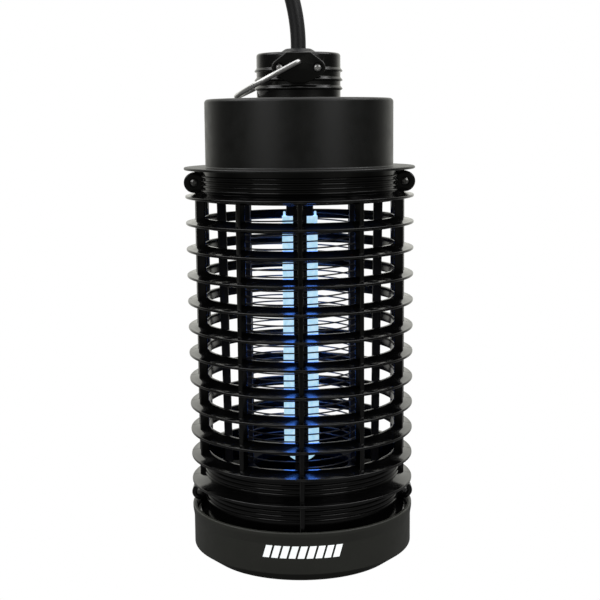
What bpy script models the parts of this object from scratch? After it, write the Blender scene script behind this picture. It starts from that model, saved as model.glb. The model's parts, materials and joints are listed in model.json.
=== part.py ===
"""Electric bug zapper: a hanging lantern with a louvred cage round a UV lamp and a high-voltage grid.

Metres, +Z up. The origin is the centre of the base's underside, and the front faces -Y.
"""

from math import asin, cos, pi, radians, sin, tau

import bmesh
import bpy
from mathutils import Matrix, Vector

MM = 0.001
GAP = 0.3 * MM  # clearance left between neighbouring pieces

# Fineness of the round pieces.
ROUND = 32
HALF_ROUND = 12
SMALL_ROUND = 12
WIRE_SIDES = 8

# Insect tray at the bottom.
TRAY_RADIUS = 61.9 * MM
TRAY_HEIGHT = 29.2 * MM
TRAY_LIP_BOTTOM = 26.4 * MM
TRAY_BODY_RADIUS = 61.2 * MM
TRAY_INNER = 59.7 * MM
TRAY_FLOOR = 2.2 * MM
TRAY_FOOT_RADIUS = 52.1 * MM
TRAY_SLOPE_TOP = 6.5 * MM
TRAY_LEDGE_INNER = 56.2 * MM
TRAY_LEDGE_THICKNESS = 1.6 * MM

# Louvred cage: twelve rings, each a hoop whose flange sweeps out to a thin rim.
RING_COUNT = 12
TOP_RING_Z = 202.1 * MM
RING_PITCH = 14.4 * MM
FLANGE_RADIUS_TOP = 62.7 * MM
FLANGE_RADIUS_BOTTOM = 61.9 * MM
FLANGE_THICKNESS = 1.4 * MM
FLANGE_SWEEP_SHARES = (0.4, 0.7)
HOOP_INNER = 52.2 * MM
HOOP_OUTER = 54.2 * MM
HOOP_ABOVE = 2.6 * MM
HOOP_BELOW = 2.9 * MM
WALL_INNER = 52.6 * MM
WALL_OUTER = 53.9 * MM
CAGE_TOP = 215.7 * MM
CAGE_BOTTOM = 23.5 * MM
BEAD_PROUD = 0.8 * MM
BEAD_HALF_HEIGHT = 0.75 * MM
BEAD_PITCH = 2.37 * MM
BEADS_PER_BAND = 4
TOP_BEADS_ABOVE_RING = 6.7 * MM
LOW_BEADS_BELOW_RING = 6.9 * MM
GUIDE_RADIUS = 59.0 * MM
GUIDE_THICKNESS = 1.5 * MM
CAGE_END_ANGLE = radians(89.8)
WALL_END_ANGLE = radians(89.76)
FRONT_RIB_ANGLE = 0
OPEN_RIB_ANGLES = (-77, -34, 34, 77)
RIB_WIDTH = 2.8 * MM
RIB_INNER = 52.9 * MM
RIB_OUTER = 57.8 * MM
SEAM_RIB_WIDTH = 2.6 * MM
SEAM_GAP = 0.15 * MM

# Screw ears where the cage halves meet, on both sides, top and bottom.
EAR_X = 57.6 * MM
EAR_DEPTH = 5.5 * MM
UPPER_EAR_Z = 209.0 * MM
UPPER_EAR_RADIUS = 5.6 * MM
LOWER_EAR_Z = 34.9 * MM
LOWER_EAR_RADIUS = 4.6 * MM

# Cap above the cage.
CAP_FLANGE_RADIUS = 63.2 * MM
CAP_RADIUS = 51.4 * MM
CAP_WALL = 2.2 * MM
CAP_TOP = 253.8 * MM
CAP_FLANGE_BOTTOM = 216.0 * MM
CAP_FILLET = 2.0 * MM
CAP_BOSS_Y = 41.0 * MM
CAP_BOSS_RADIUS = 4.0 * MM

# Neck on the cap, in two halves that clamp the cord.
NECK_RADIUS = 22.75 * MM
NECK_WALL = 2.7 * MM
NECK_TOP = 278.0 * MM
NECK_ROOT = 248.6 * MM
NECK_FOOT_RADIUS = 25.3 * MM
NECK_END_ANGLE = radians(89.4)
RIDGE_RADIUS = 23.85 * MM
RIDGE_HEIGHTS = (259.1 * MM, 263.7 * MM, 268.6 * MM)
RIDGE_HALF_HEIGHT = 0.6 * MM
PAD_FACE = 24.1 * MM
PAD_BACK = 18.0 * MM
NECK_SCREW_X = 10.0 * MM
NECK_SCREW_Z = 269.6 * MM
NECK_BOSS_RADIUS = 3.4 * MM
LOBE_RADIUS = 4.2 * MM

# Hanging bail: a wire loop that swings about the Y axis on top of the neck.
PIVOT_Z = 272.6 * MM
BAIL_WIRE = 1.2 * MM
BAIL_HALF_WIDTH = 25.7 * MM
BAIL_REACH = 38.0 * MM
BAIL_END = 19.8 * MM
BAIL_BEND = 1.6 * MM

# Cord, grommet and plug.
CABLE_RADIUS = 4.1 * MM
CABLE_START_Z = 257.0 * MM
CABLE_BEND_Z = 282.1 * MM
CABLE_BEND_RADIUS = 100.0 * MM
CABLE_BEND_ANGLE = radians(20)
GROMMET_BORE = 4.4 * MM
GROMMET_STEM = 5.9 * MM
GROMMET_HEAD = 9.6 * MM
GROMMET_TOP = 280.5 * MM
GROMMET_ROOT = 267.6 * MM
PLUG_LENGTH = 36.0 * MM
PLUG_PIN_RADIUS = 2.4 * MM
PLUG_PIN_LENGTH = 19.0 * MM
PLUG_PIN_SPACING = 19.0 * MM

# Deck between the cap and the cage, with what hangs under it.
DECK_BOTTOM = 204.2 * MM
DECK_TOP = 206.8 * MM
DECK_RADIUS = 51.4 * MM
STANDOFF_X = 26.0 * MM
STANDOFF_Y = 20.0 * MM
STANDOFF_RADIUS = 3.0 * MM
PILLAR_TOP_X = 43.2 * MM
PILLAR_BOTTOM_X = 41.2 * MM
PILLAR_TOP_WIDTH = 4.9 * MM
PILLAR_BOTTOM_WIDTH = 4.1 * MM
PILLAR_DEPTH = 6.0 * MM
CARRIER_TOP = 51.0 * MM
CARRIER_THICKNESS = 3.5 * MM

# High-voltage grid: two wires wound side by side round four posts.
POST_INNER = 27.4 * MM
POST_OUTER = 31.6 * MM
POST_WIDTH = 7.3 * MM
GRID_RADIUS = 33.3 * MM
GRID_WIRE = 0.45 * MM
GRID_PITCH = 7.45 * MM
GRID_BOTTOM = 56.3 * MM
GRID_TURNS = 18
GRID_STEPS = 12
GRID_SIDES = 3

# Lamp: a U-shaped tube on a plug-in base.
LAMP_TUBE_RADIUS = 4.6 * MM
LAMP_TUBE_X = 5.2 * MM
LAMP_BOTTOM = 51.0 * MM
LAMP_BASE_HALF_X = 7.4 * MM
LAMP_BASE_HALF_Y = 6.4 * MM
LAMP_BASE_BOTTOM = 190.4 * MM
LAMP_BASE_TOP = 196.4 * MM
LAMP_PIN_TOP = 202.4 * MM
SOCKET_TOP = 203.9 * MM

# Circuit board in the cap.
BOARD_BOTTOM = 218.0 * MM
BOARD_TOP = 219.6 * MM
BOARD_HALF_X = 33.0 * MM
BOARD_HALF_Y = 27.0 * MM


# --- Materials ---------------------------------------------------------------------------------


def make_material(name, color, roughness, metallic=0.0, emission=0.0):
    """One Principled material in a plain colour."""
    material = bpy.data.materials.new(name)
    material.use_nodes = True
    shader = material.node_tree.nodes["Principled BSDF"]
    shader.inputs["Base Color"].default_value = (*color, 1.0)
    shader.inputs["Roughness"].default_value = roughness
    shader.inputs["Metallic"].default_value = metallic
    if emission:
        shader.inputs["Emission Color"].default_value = (*color, 1.0)
        shader.inputs["Emission Strength"].default_value = emission
    return material


def make_materials():
    return {
        "case": make_material("case_plastic", (0.020, 0.021, 0.020), 0.35),
        "cage": make_material("cage_plastic", (0.016, 0.016, 0.016), 0.32),
        "inner": make_material("inner_plastic", (0.030, 0.030, 0.033), 0.45),
        "rubber": make_material("cord_rubber", (0.025, 0.025, 0.026), 0.55),
        "steel": make_material("bright_steel", (0.80, 0.80, 0.80), 0.18, 1.0),
        "grid": make_material("grid_steel", (0.50, 0.50, 0.52), 0.30, 1.0),
        "glass": make_material("lamp_glass", (0.55, 0.78, 1.0), 0.20, 0.0, 3.0),
        "board": make_material("board_laminate", (0.05, 0.22, 0.09), 0.50),
        "component": make_material("component_case", (0.08, 0.08, 0.12), 0.40),
        "copper": make_material("copper_winding", (0.70, 0.32, 0.14), 0.35, 1.0),
        "brass": make_material("pin_brass", (0.78, 0.62, 0.30), 0.28, 1.0),
        "red": make_material("lead_red", (0.55, 0.05, 0.04), 0.50),
        "white": make_material("lead_white", (0.75, 0.75, 0.72), 0.50),
    }


# --- Mesh tools --------------------------------------------------------------------------------


def add_object(name, bm, material=None):
    """Turn a bmesh into a smooth-shaded object in the scene."""
    bmesh.ops.remove_doubles(bm, verts=bm.verts, dist=1e-7)
    bmesh.ops.recalc_face_normals(bm, faces=bm.faces)
    mesh = bpy.data.meshes.new(name)
    bm.to_mesh(mesh)
    bm.free()
    finish_mesh(mesh, material)
    obj = bpy.data.objects.new(name, mesh)
    bpy.context.scene.collection.objects.link(obj)
    return obj


def finish_mesh(mesh, material):
    mesh.shade_smooth()
    mesh.set_sharp_from_angle(angle=radians(35))
    mesh.materials.clear()
    if material:
        mesh.materials.append(material)


def skin(bm, sections, closed=False):
    """Join loops of equal length with quads, and cap the two ends unless the run is closed."""
    loops = [[bm.verts.new(point) for point in section] for section in sections]
    size = len(loops[0])
    pairs = list(zip(loops, loops[1:]))
    if closed:
        pairs.append((loops[-1], loops[0]))
    for here, there in pairs:
        for i in range(size):
            j = (i + 1) % size
            bm.faces.new((here[i], here[j], there[j], there[i]))
    if not closed:
        bm.faces.new(loops[0])
        bm.faces.new(loops[-1])


def turned(name, profile, material=None, end_angle=None, steps=ROUND):
    """Turn a closed (radius, height) outline about Z, all the way round or from -end to +end.

    Angle 0 points to the front, -Y.
    """
    bm = bmesh.new()
    if end_angle is None:
        angles = [tau * step / steps for step in range(steps)]
    else:
        angles = [end_angle * (2 * step / steps - 1) for step in range(steps + 1)]
    sections = [[(r * sin(a), -r * cos(a), z) for r, z in profile] for a in angles]
    skin(bm, sections, closed=end_angle is None)
    return add_object(name, bm, material)


def disc_outline(x, z, radius, steps=SMALL_ROUND):
    return [
        (x + radius * cos(tau * i / steps), z + radius * sin(tau * i / steps))
        for i in range(steps)
    ]


def prism_y(name, outline, low_y, high_y, material=None):
    """Extrude an (x, z) outline along Y."""
    bm = bmesh.new()
    skin(bm, [[(x, y, z) for x, z in outline] for y in (low_y, high_y)])
    return add_object(name, bm, material)


def prism_z(name, outline, low_z, high_z, material=None):
    """Extrude an (x, y) outline along Z."""
    bm = bmesh.new()
    skin(bm, [[(x, y, z) for x, y in outline] for z in (low_z, high_z)])
    return add_object(name, bm, material)


def rod_y(name, x, z, radius, low_y, high_y, material=None, steps=SMALL_ROUND):
    return prism_y(name, disc_outline(x, z, radius, steps), low_y, high_y, material)


def rod_z(name, x, y, radius, low_z, high_z, material=None, steps=SMALL_ROUND):
    return prism_z(name, disc_outline(x, y, radius, steps), low_z, high_z, material)


def block(name, low, high, material=None):
    outline = [(low[0], low[1]), (high[0], low[1]), (high[0], high[1]), (low[0], high[1])]
    return prism_z(name, outline, low[2], high[2], material)


def tube(name, path, radius, sides, material=None):
    """Sweep a round section along a path, turning it as little as possible on the way."""
    points = [Vector(point) for point in path]
    bm = bmesh.new()
    sections = []
    side = None
    for i, point in enumerate(points):
        before = points[max(i - 1, 0)]
        after = points[min(i + 1, len(points) - 1)]
        along = (after - before).normalized()
        if side is None:
            side = along.orthogonal().normalized()
        side = (side - along * side.dot(along)).normalized()
        up = along.cross(side)
        angles = [tau * k / sides for k in range(sides)]
        sections.append([point + radius * (cos(a) * side + sin(a) * up) for a in angles])
    skin(bm, sections)
    return add_object(name, bm, material)


def combine(body, tools, operation, material):
    """Join the tools to the body, or cut them from it, in one exact Boolean, and drop the tools."""
    group = bpy.data.collections.new("tools")
    bpy.context.scene.collection.children.link(group)
    for tool in tools:
        bpy.context.scene.collection.objects.unlink(tool)
        group.objects.link(tool)
    modifier = body.modifiers.new("join", "BOOLEAN")
    modifier.operation = operation
    modifier.solver = "EXACT"
    modifier.operand_type = "COLLECTION"
    modifier.collection = group
    graph = bpy.context.evaluated_depsgraph_get()
    mesh = bpy.data.meshes.new_from_object(body.evaluated_get(graph))
    body.modifiers.clear()
    body.data = mesh
    finish_mesh(mesh, material)
    for tool in tools:
        bpy.data.objects.remove(tool)
    bpy.data.collections.remove(group)
    return body


def set_origin(obj, point):
    """Move an object's origin without moving its mesh."""
    obj.data.transform(Matrix.Translation(-Vector(point)))
    obj.location = point


def half_turn(obj):
    """Turn a finished front piece round to the rear."""
    obj.data.transform(Matrix.Rotation(pi, 4, "Z"))


# --- Cage --------------------------------------------------------------------------------------


def ring_outline(index):
    """Section of one ring: a short upright hoop, swept out on top to a thin rim."""
    z = TOP_RING_Z - index * RING_PITCH
    share = index / (RING_COUNT - 1)
    reach = FLANGE_RADIUS_TOP + (FLANGE_RADIUS_BOTTOM - FLANGE_RADIUS_TOP) * share
    width = reach - HOOP_OUTER
    sweep = [(reach - width * t, z + HOOP_ABOVE * t * t) for t in FLANGE_SWEEP_SHARES]
    return [
        (HOOP_INNER, z - HOOP_BELOW),
        (HOOP_OUTER, z - HOOP_BELOW),
        (HOOP_OUTER, z - FLANGE_THICKNESS),
        (reach, z - FLANGE_THICKNESS),
        (reach, z),
        *sweep,
        (HOOP_OUTER, z + HOOP_ABOVE),
        (HOOP_INNER, z + HOOP_ABOVE),
    ]


def rectangle(inner, outer, low, high):
    return [(inner, low), (outer, low), (outer, high), (inner, high)]


def beaded_band(name, low, high, middle, material=None):
    """A closed band of the cage, whose outside has four fine beads round it."""
    outline = [(WALL_INNER, high), (WALL_INNER, low), (WALL_OUTER, low)]
    for k in range(BEADS_PER_BAND):
        z = middle + (k - (BEADS_PER_BAND - 1) / 2) * BEAD_PITCH
        outline.append((WALL_OUTER, z - BEAD_HALF_HEIGHT))
        outline.append((WALL_OUTER + BEAD_PROUD, z))
        outline.append((WALL_OUTER, z + BEAD_HALF_HEIGHT))
    outline.append((WALL_OUTER, high))
    return turned(name, outline, material, WALL_END_ANGLE, HALF_ROUND)


def rib(angle_deg, low, high):
    """An upright bar of the cage, at an angle from the front."""
    half = RIB_WIDTH / 2
    bar = block("rib", (-half, -RIB_OUTER, low), (half, -RIB_INNER, high))
    bar.data.transform(Matrix.Rotation(radians(angle_deg), 4, "Z"))
    return bar


def seam_rib(side):
    """The flat bar along the parting line, on one side."""
    xs = sorted((side * RIB_INNER, side * (RIB_OUTER - GAP)))
    low = (xs[0], -SEAM_GAP - SEAM_RIB_WIDTH, CAGE_BOTTOM + GUIDE_THICKNESS / 2)
    high = (xs[1], -SEAM_GAP, CAGE_TOP - GAP)
    return block("seam_rib", low, high)


def cage_half(name, materials, screws_from_front):
    """One half of the cage: rings, closed bands at top and bottom, ribs and four half ears."""
    material = materials["cage"]
    low_wall_top = TOP_RING_Z - (RING_COUNT - 2) * RING_PITCH
    last_ring = low_wall_top - RING_PITCH
    middle = (low_wall_top + last_ring) / 2
    body = beaded_band(name, last_ring, low_wall_top, middle, material)
    bands = [
        (CAGE_BOTTOM, last_ring + 0.2 * MM, last_ring - LOW_BEADS_BELOW_RING),
        (TOP_RING_Z, CAGE_TOP, TOP_RING_Z + TOP_BEADS_ABOVE_RING),
    ]
    additions = [beaded_band("band", low, high, middle) for low, high, middle in bands]
    guide = rectangle(HOOP_INNER, GUIDE_RADIUS, CAGE_BOTTOM + GAP, CAGE_BOTTOM + GUIDE_THICKNESS)
    additions.append(turned("guide", guide, None, CAGE_END_ANGLE, HALF_ROUND))
    for index in range(RING_COUNT):
        outline = ring_outline(index)
        additions.append(turned("ring", outline, None, CAGE_END_ANGLE, HALF_ROUND))
    inside_guide = CAGE_BOTTOM + GUIDE_THICKNESS / 2
    under_top_ring = TOP_RING_Z - FLANGE_THICKNESS / 2
    additions.append(rib(FRONT_RIB_ANGLE, inside_guide, under_top_ring))
    in_low_ring = low_wall_top - FLANGE_THICKNESS / 2
    additions += [rib(angle, in_low_ring, under_top_ring) for angle in OPEN_RIB_ANGLES]
    additions += [seam_rib(side) for side in (-1, 1)]
    near = -SEAM_GAP - 0.05 * MM
    ears = [(UPPER_EAR_Z, UPPER_EAR_RADIUS), (LOWER_EAR_Z, LOWER_EAR_RADIUS)]
    for side in (-1, 1):
        for z, radius in ears:
            additions.append(rod_y("ear", side * EAR_X, z, radius, -EAR_DEPTH, near))
    combine(body, additions, "UNION", material)
    cuts = []
    for side in (-1, 1):
        for z, _ in ears:
            cuts.append(rod_y("hole", side * EAR_X, z, 1.5 * MM, -8 * MM, 1 * MM, None, 8))
            if screws_from_front:
                cuts.append(
                    rod_y("seat", side * EAR_X, z, 2.7 * MM, -8 * MM, -EAR_DEPTH + 1.9 * MM)
                )
    combine(body, cuts, "DIFFERENCE", material)
    if not screws_from_front:
        half_turn(body)
    return body


def cage_screw(name, x, z, materials):
    """A pan-head screw that pulls the two halves of an ear together."""
    head_face = -EAR_DEPTH + 0.4 * MM
    head_back = -EAR_DEPTH + 1.6 * MM
    head = rod_y(name, x, z, 2.2 * MM, head_face, head_back, materials["steel"])
    shank = rod_y("shank", x, z, 1.15 * MM, head_back - 0.2 * MM, 4.6 * MM, None, 8)
    return combine(head, [shank], "UNION", materials["steel"])


def build_cage(materials):
    cage_half("cage_front", materials, True)
    cage_half("cage_rear", materials, False)
    for side, word in ((-1, "left"), (1, "right")):
        cage_screw(f"cage_screw_upper_{word}", side * EAR_X, UPPER_EAR_Z, materials)
        cage_screw(f"cage_screw_lower_{word}", side * EAR_X, LOWER_EAR_Z, materials)


# --- Cap, neck and bail ------------------------------------------------------------------------


def build_cap(materials):
    """The round cap: a thin flange over the cage, a tall drum and a flat top with the neck's hole."""
    inner = CAP_RADIUS - CAP_WALL
    top_inside = CAP_TOP - 2.4 * MM
    hole = NECK_RADIUS + 0.4 * MM
    outline = [
        (inner, CAP_FLANGE_BOTTOM),
        (CAP_FLANGE_RADIUS, CAP_FLANGE_BOTTOM),
        (CAP_FLANGE_RADIUS, CAP_FLANGE_BOTTOM + FLANGE_THICKNESS),
        (CAP_RADIUS, CAP_FLANGE_BOTTOM + FLANGE_THICKNESS),
        (CAP_RADIUS, CAP_TOP - CAP_FILLET),
        (CAP_RADIUS - 0.3 * CAP_FILLET, CAP_TOP - 0.3 * CAP_FILLET),
        (CAP_RADIUS - CAP_FILLET, CAP_TOP),
        (hole, CAP_TOP),
        (hole, top_inside),
        (inner, top_inside),
    ]
    cap = turned("cap_housing", outline, materials["case"])
    bosses = []
    holes = []
    boss_bottom = DECK_TOP + GAP
    for y in (-CAP_BOSS_Y, CAP_BOSS_Y):
        boss_top = top_inside + 1 * MM
        bosses.append(rod_z("boss", 0, y, CAP_BOSS_RADIUS, boss_bottom, boss_top))
        holes.append(rod_z("hole", 0, y, 1.5 * MM, boss_bottom - 1 * MM, boss_bottom + 12 * MM, None, 8))
    combine(cap, bosses, "UNION", materials["case"])
    combine(cap, holes, "DIFFERENCE", materials["case"])
    for y, word in ((-CAP_BOSS_Y, "front"), (CAP_BOSS_Y, "rear")):
        steel = materials["steel"]
        low = DECK_BOTTOM - 2 * MM
        screw = rod_z(f"deck_screw_{word}", 0, y, 2.6 * MM, low, DECK_BOTTOM - GAP, steel)
        shank = rod_z("shank", 0, y, 1.15 * MM, low + 1 * MM, boss_bottom + 9 * MM, None, 8)
        combine(screw, [shank], "UNION", steel)


def neck_outline():
    """Section of the neck: a foot under the cap's top, three ridges and a closed top."""
    inner = NECK_RADIUS - NECK_WALL
    foot_top = CAP_TOP - 2.4 * MM - GAP
    hole = GROMMET_STEM + GAP
    outline = [(inner, NECK_ROOT), (NECK_FOOT_RADIUS, NECK_ROOT), (NECK_FOOT_RADIUS, foot_top)]
    outline.append((NECK_RADIUS, foot_top))
    for z in RIDGE_HEIGHTS:
        outline.append((NECK_RADIUS, z - RIDGE_HALF_HEIGHT))
        outline.append((RIDGE_RADIUS, z - RIDGE_HALF_HEIGHT / 2))
        outline.append((RIDGE_RADIUS, z + RIDGE_HALF_HEIGHT / 2))
        outline.append((NECK_RADIUS, z + RIDGE_HALF_HEIGHT))
    outline += [
        (NECK_RADIUS, NECK_TOP - 1.2 * MM),
        (NECK_RADIUS - 1.2 * MM, NECK_TOP),
        (hole, NECK_TOP),
        (hole, NECK_TOP - NECK_WALL),
        (inner, NECK_TOP - NECK_WALL),
    ]
    return outline


def neck_half(name, materials, is_front):
    """One half of the neck, with the pad that carries the bail's pivot and the clamp screws."""
    case = materials["case"]
    body = turned(name, neck_outline(), case, NECK_END_ANGLE, HALF_ROUND)
    if is_front:
        right = [(3.5 * MM, NECK_SCREW_Z - 8.2 * MM), (7.5 * MM, NECK_SCREW_Z - 6.6 * MM)]
        for angle in (-50, -17, 17, 50):
            x = NECK_SCREW_X + LOBE_RADIUS * cos(radians(angle))
            right.append((x, NECK_SCREW_Z + LOBE_RADIUS * sin(radians(angle))))
        right.append((6.4 * MM, NECK_TOP - 0.4 * MM))
        pad_outline = right + [(-x, z) for x, z in reversed(right)]
    else:
        pad_outline = disc_outline(0, PIVOT_Z, 4.0 * MM)
    additions = [prism_y("pad", pad_outline, -PAD_FACE, -PAD_BACK)]
    boss_end = -NECK_RADIUS + 7.0 * MM
    for side in (-1, 1):
        x = side * NECK_SCREW_X
        additions.append(
            rod_y("boss", x, NECK_SCREW_Z, NECK_BOSS_RADIUS, boss_end - 4 * MM, -0.4 * MM)
        )
    combine(body, additions, "UNION", case)
    pivot_hole = BAIL_WIRE + GAP
    cuts = [rod_y("pivot", 0, PIVOT_Z, pivot_hole, -PAD_FACE - 1 * MM, -PAD_BACK + 1 * MM)]
    for side in (-1, 1):
        x = side * NECK_SCREW_X
        deep_end = -PAD_FACE - 1 * MM if is_front else -12.0 * MM
        cuts.append(rod_y("hole", x, NECK_SCREW_Z, 1.5 * MM, deep_end, 1 * MM, None, 8))
        if is_front:
            cuts.append(
                rod_y("seat", x, NECK_SCREW_Z, 2.6 * MM, -PAD_FACE - 1 * MM, -PAD_FACE + 2.6 * MM)
            )
    combine(body, cuts, "DIFFERENCE", case)
    if not is_front:
        half_turn(body)
    return body


def neck_screw(name, x, materials):
    face = -PAD_FACE + 1.0 * MM
    back = -PAD_FACE + 2.3 * MM
    head = rod_y(name, x, NECK_SCREW_Z, 2.1 * MM, face, back, materials["steel"])
    shank = rod_y("shank", x, NECK_SCREW_Z, 1.15 * MM, back - 0.2 * MM, 10.5 * MM, None, 8)
    return combine(head, [shank], "UNION", materials["steel"])


def build_neck(materials):
    neck_half("neck_front", materials, True)
    neck_half("neck_rear", materials, False)
    neck_screw("neck_screw_left", -NECK_SCREW_X, materials)
    neck_screw("neck_screw_right", NECK_SCREW_X, materials)


def build_bail(materials):
    """The wire loop, lying to the left with its tip just above the cap's top."""
    tip_z = CAP_TOP + BAIL_WIRE + GAP
    droop = asin((PIVOT_Z - tip_z) / BAIL_REACH)
    straight = BAIL_REACH - BAIL_HALF_WIDTH
    bend_center = BAIL_HALF_WIDTH - BAIL_BEND
    near_leg = [(0.0, -BAIL_END), (0.0, -bend_center)]
    for k in (1, 2, 3):
        a = pi / 2 * k / 3
        near_leg.append((BAIL_BEND * (1 - cos(a)), -bend_center - BAIL_BEND * sin(a)))
    arc_steps = 16
    arc = []
    for k in range(arc_steps + 1):
        a = pi * k / arc_steps
        arc.append((straight + BAIL_HALF_WIDTH * sin(a), -BAIL_HALF_WIDTH * cos(a)))
    far_leg = [(reach, -y) for reach, y in reversed(near_leg)]
    path = [
        (-reach * cos(droop), y, PIVOT_Z - reach * sin(droop))
        for reach, y in near_leg + arc + far_leg
    ]
    bail = tube("hanging_bail", path, BAIL_WIRE, WIRE_SIDES, materials["steel"])
    set_origin(bail, (0, 0, PIVOT_Z))


# --- Cord and plug -----------------------------------------------------------------------------


def cable_path():
    """Straight up out of the neck, then a gentle bend to the left and back to upright."""
    path = [(0, 0, CABLE_START_Z), (0, 0, CABLE_BEND_Z - 10 * MM), (0, 0, CABLE_BEND_Z)]
    steps = 6
    rise = CABLE_BEND_RADIUS * sin(CABLE_BEND_ANGLE)
    shift = CABLE_BEND_RADIUS * (1 - cos(CABLE_BEND_ANGLE))
    for k in range(1, steps + 1):
        a = CABLE_BEND_ANGLE * k / steps
        path.append((-CABLE_BEND_RADIUS * (1 - cos(a)), 0, CABLE_BEND_Z + CABLE_BEND_RADIUS * sin(a)))
    for k in range(1, steps + 1):
        a = CABLE_BEND_ANGLE * (1 - k / steps)
        x = -2 * shift + CABLE_BEND_RADIUS * (1 - cos(a))
        path.append((x, 0, CABLE_BEND_Z + 2 * rise - CABLE_BEND_RADIUS * sin(a)))
    return path


def oval(half_x, half_y, x, z, steps=16):
    return [
        (x + half_x * cos(tau * i / steps), half_y * sin(tau * i / steps), z)
        for i in range(steps)
    ]


def build_cord(materials):
    rubber = materials["rubber"]
    grommet = [
        (GROMMET_BORE, GROMMET_ROOT),
        (GROMMET_STEM, GROMMET_ROOT),
        (GROMMET_STEM, NECK_TOP + GAP),
        (GROMMET_HEAD, NECK_TOP + GAP),
        (GROMMET_HEAD - 0.5 * MM, NECK_TOP + 1.0 * MM),
        (GROMMET_HEAD - 2.8 * MM, GROMMET_TOP),
        (GROMMET_BORE, GROMMET_TOP),
    ]
    turned("cord_grommet", grommet, rubber, None, 20)
    path = cable_path()
    tube("power_cable", path, CABLE_RADIUS, SMALL_ROUND, rubber)
    end_x, _, end_z = path[-1]
    # The plug is lofted along Z: a sleeve on the cord that widens into a flat two-pin body.
    low = end_z + GAP
    shape = [(5.2, 5.2, 0.0), (6.0, 5.8, 9.0), (11.5, 6.6, 15.0), (17.0, 7.0, 20.0)]
    shape += [(17.6, 7.2, 34.0), (16.6, 6.4, PLUG_LENGTH / MM)]
    bm = bmesh.new()
    skin(bm, [oval(hx * MM, hy * MM, end_x, low + h * MM) for hx, hy, h in shape])
    plug = add_object("plug_body", bm, rubber)
    top = low + PLUG_LENGTH
    sockets = []
    for side, word in ((-1, "left"), (1, "right")):
        x = end_x + side * PLUG_PIN_SPACING / 2
        sockets.append(rod_z("pin_hole", x, 0, PLUG_PIN_RADIUS + GAP, top - 6 * MM, top + 1 * MM))
        pin_low = top - 5.5 * MM
        pin_high = top + PLUG_PIN_LENGTH
        rod_z(f"plug_pin_{word}", x, 0, PLUG_PIN_RADIUS, pin_low, pin_high, materials["brass"])
    combine(plug, sockets, "DIFFERENCE", rubber)


# --- Deck, grid and lamp -----------------------------------------------------------------------


def lead_position(side):
    """Where a high-voltage lead passes down through the deck, beside the top of its grid wire."""
    angle = side * radians(60)
    reach = GRID_RADIUS + 3.4 * MM
    return reach * sin(angle), -reach * cos(angle)


def build_deck(materials):
    """The deck plate with four board standoffs, and the two pillars that hold the lower carrier."""
    inner = materials["inner"]
    deck = rod_z("deck_plate", 0, 0, DECK_RADIUS, DECK_BOTTOM, DECK_TOP, inner, ROUND)
    standoffs = []
    for x in (-STANDOFF_X, STANDOFF_X):
        for y in (-STANDOFF_Y, STANDOFF_Y):
            top = BOARD_BOTTOM - GAP
            standoffs.append(rod_z("standoff", x, y, STANDOFF_RADIUS, DECK_TOP - 1 * MM, top, None, 8))
    combine(deck, standoffs, "UNION", inner)
    holes = []
    for y in (-CAP_BOSS_Y, CAP_BOSS_Y):
        holes.append(rod_z("hole", 0, y, 1.5 * MM, DECK_BOTTOM - 1 * MM, DECK_TOP + 1 * MM, None, 8))
    for side in (-1, 1):
        x, y = lead_position(side)
        holes.append(rod_z("hole", x, y, 1.8 * MM, DECK_BOTTOM - 1 * MM, DECK_TOP + 1 * MM, None, 8))
        low = DECK_BOTTOM - 1 * MM
        x = side * LAMP_TUBE_X
        holes.append(rod_z("hole", x, 0, 2.0 * MM, low, DECK_TOP + 1 * MM, None, 8))
    combine(deck, holes, "DIFFERENCE", inner)
    for side, word in ((-1, "left"), (1, "right")):
        sections = []
        ends = (
            (PILLAR_TOP_X, PILLAR_TOP_WIDTH, DECK_BOTTOM - GAP),
            (PILLAR_BOTTOM_X, PILLAR_BOTTOM_WIDTH, CARRIER_TOP + GAP),
        )
        half_depth = PILLAR_DEPTH / 2
        for x, width, z in ends:
            near, far = side * x - width / 2, side * x + width / 2
            corners = [(near, -half_depth), (far, -half_depth), (far, half_depth), (near, half_depth)]
            sections.append([(px, py, z) for px, py in corners])
        bm = bmesh.new()
        skin(bm, sections)
        add_object(f"grid_pillar_{word}", bm, inner)


def build_carrier(materials):
    """The lower carrier: a ring under the grid with an arm out to each pillar."""
    inner = materials["inner"]
    low = CARRIER_TOP - CARRIER_THICKNESS
    outline = rectangle(POST_INNER - 0.4 * MM, GRID_RADIUS + 1.2 * MM, low, CARRIER_TOP)
    ring = turned("grid_carrier", outline, inner)
    arms = []
    for side in (-1, 1):
        xs = sorted((side * (GRID_RADIUS - 1 * MM), side * (PILLAR_BOTTOM_X + 3.0 * MM)))
        arms.append(
            block(
                "arm",
                (xs[0], -PILLAR_DEPTH / 2, low + GAP),
                (xs[1], PILLAR_DEPTH / 2, CARRIER_TOP - 0.1 * MM),
            )
        )
    combine(ring, arms, "UNION", inner)


def grid_wire(name, start_angle, materials):
    """One of the two wires of the grid, wound round the posts."""
    path = []
    for step in range(GRID_TURNS * GRID_STEPS + 1):
        a = start_angle + tau * step / GRID_STEPS
        z = GRID_BOTTOM + GRID_PITCH * step / GRID_STEPS
        path.append((GRID_RADIUS * sin(a), -GRID_RADIUS * cos(a), z))
    tube(name, path, GRID_WIRE, GRID_SIDES, materials["grid"])


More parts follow.
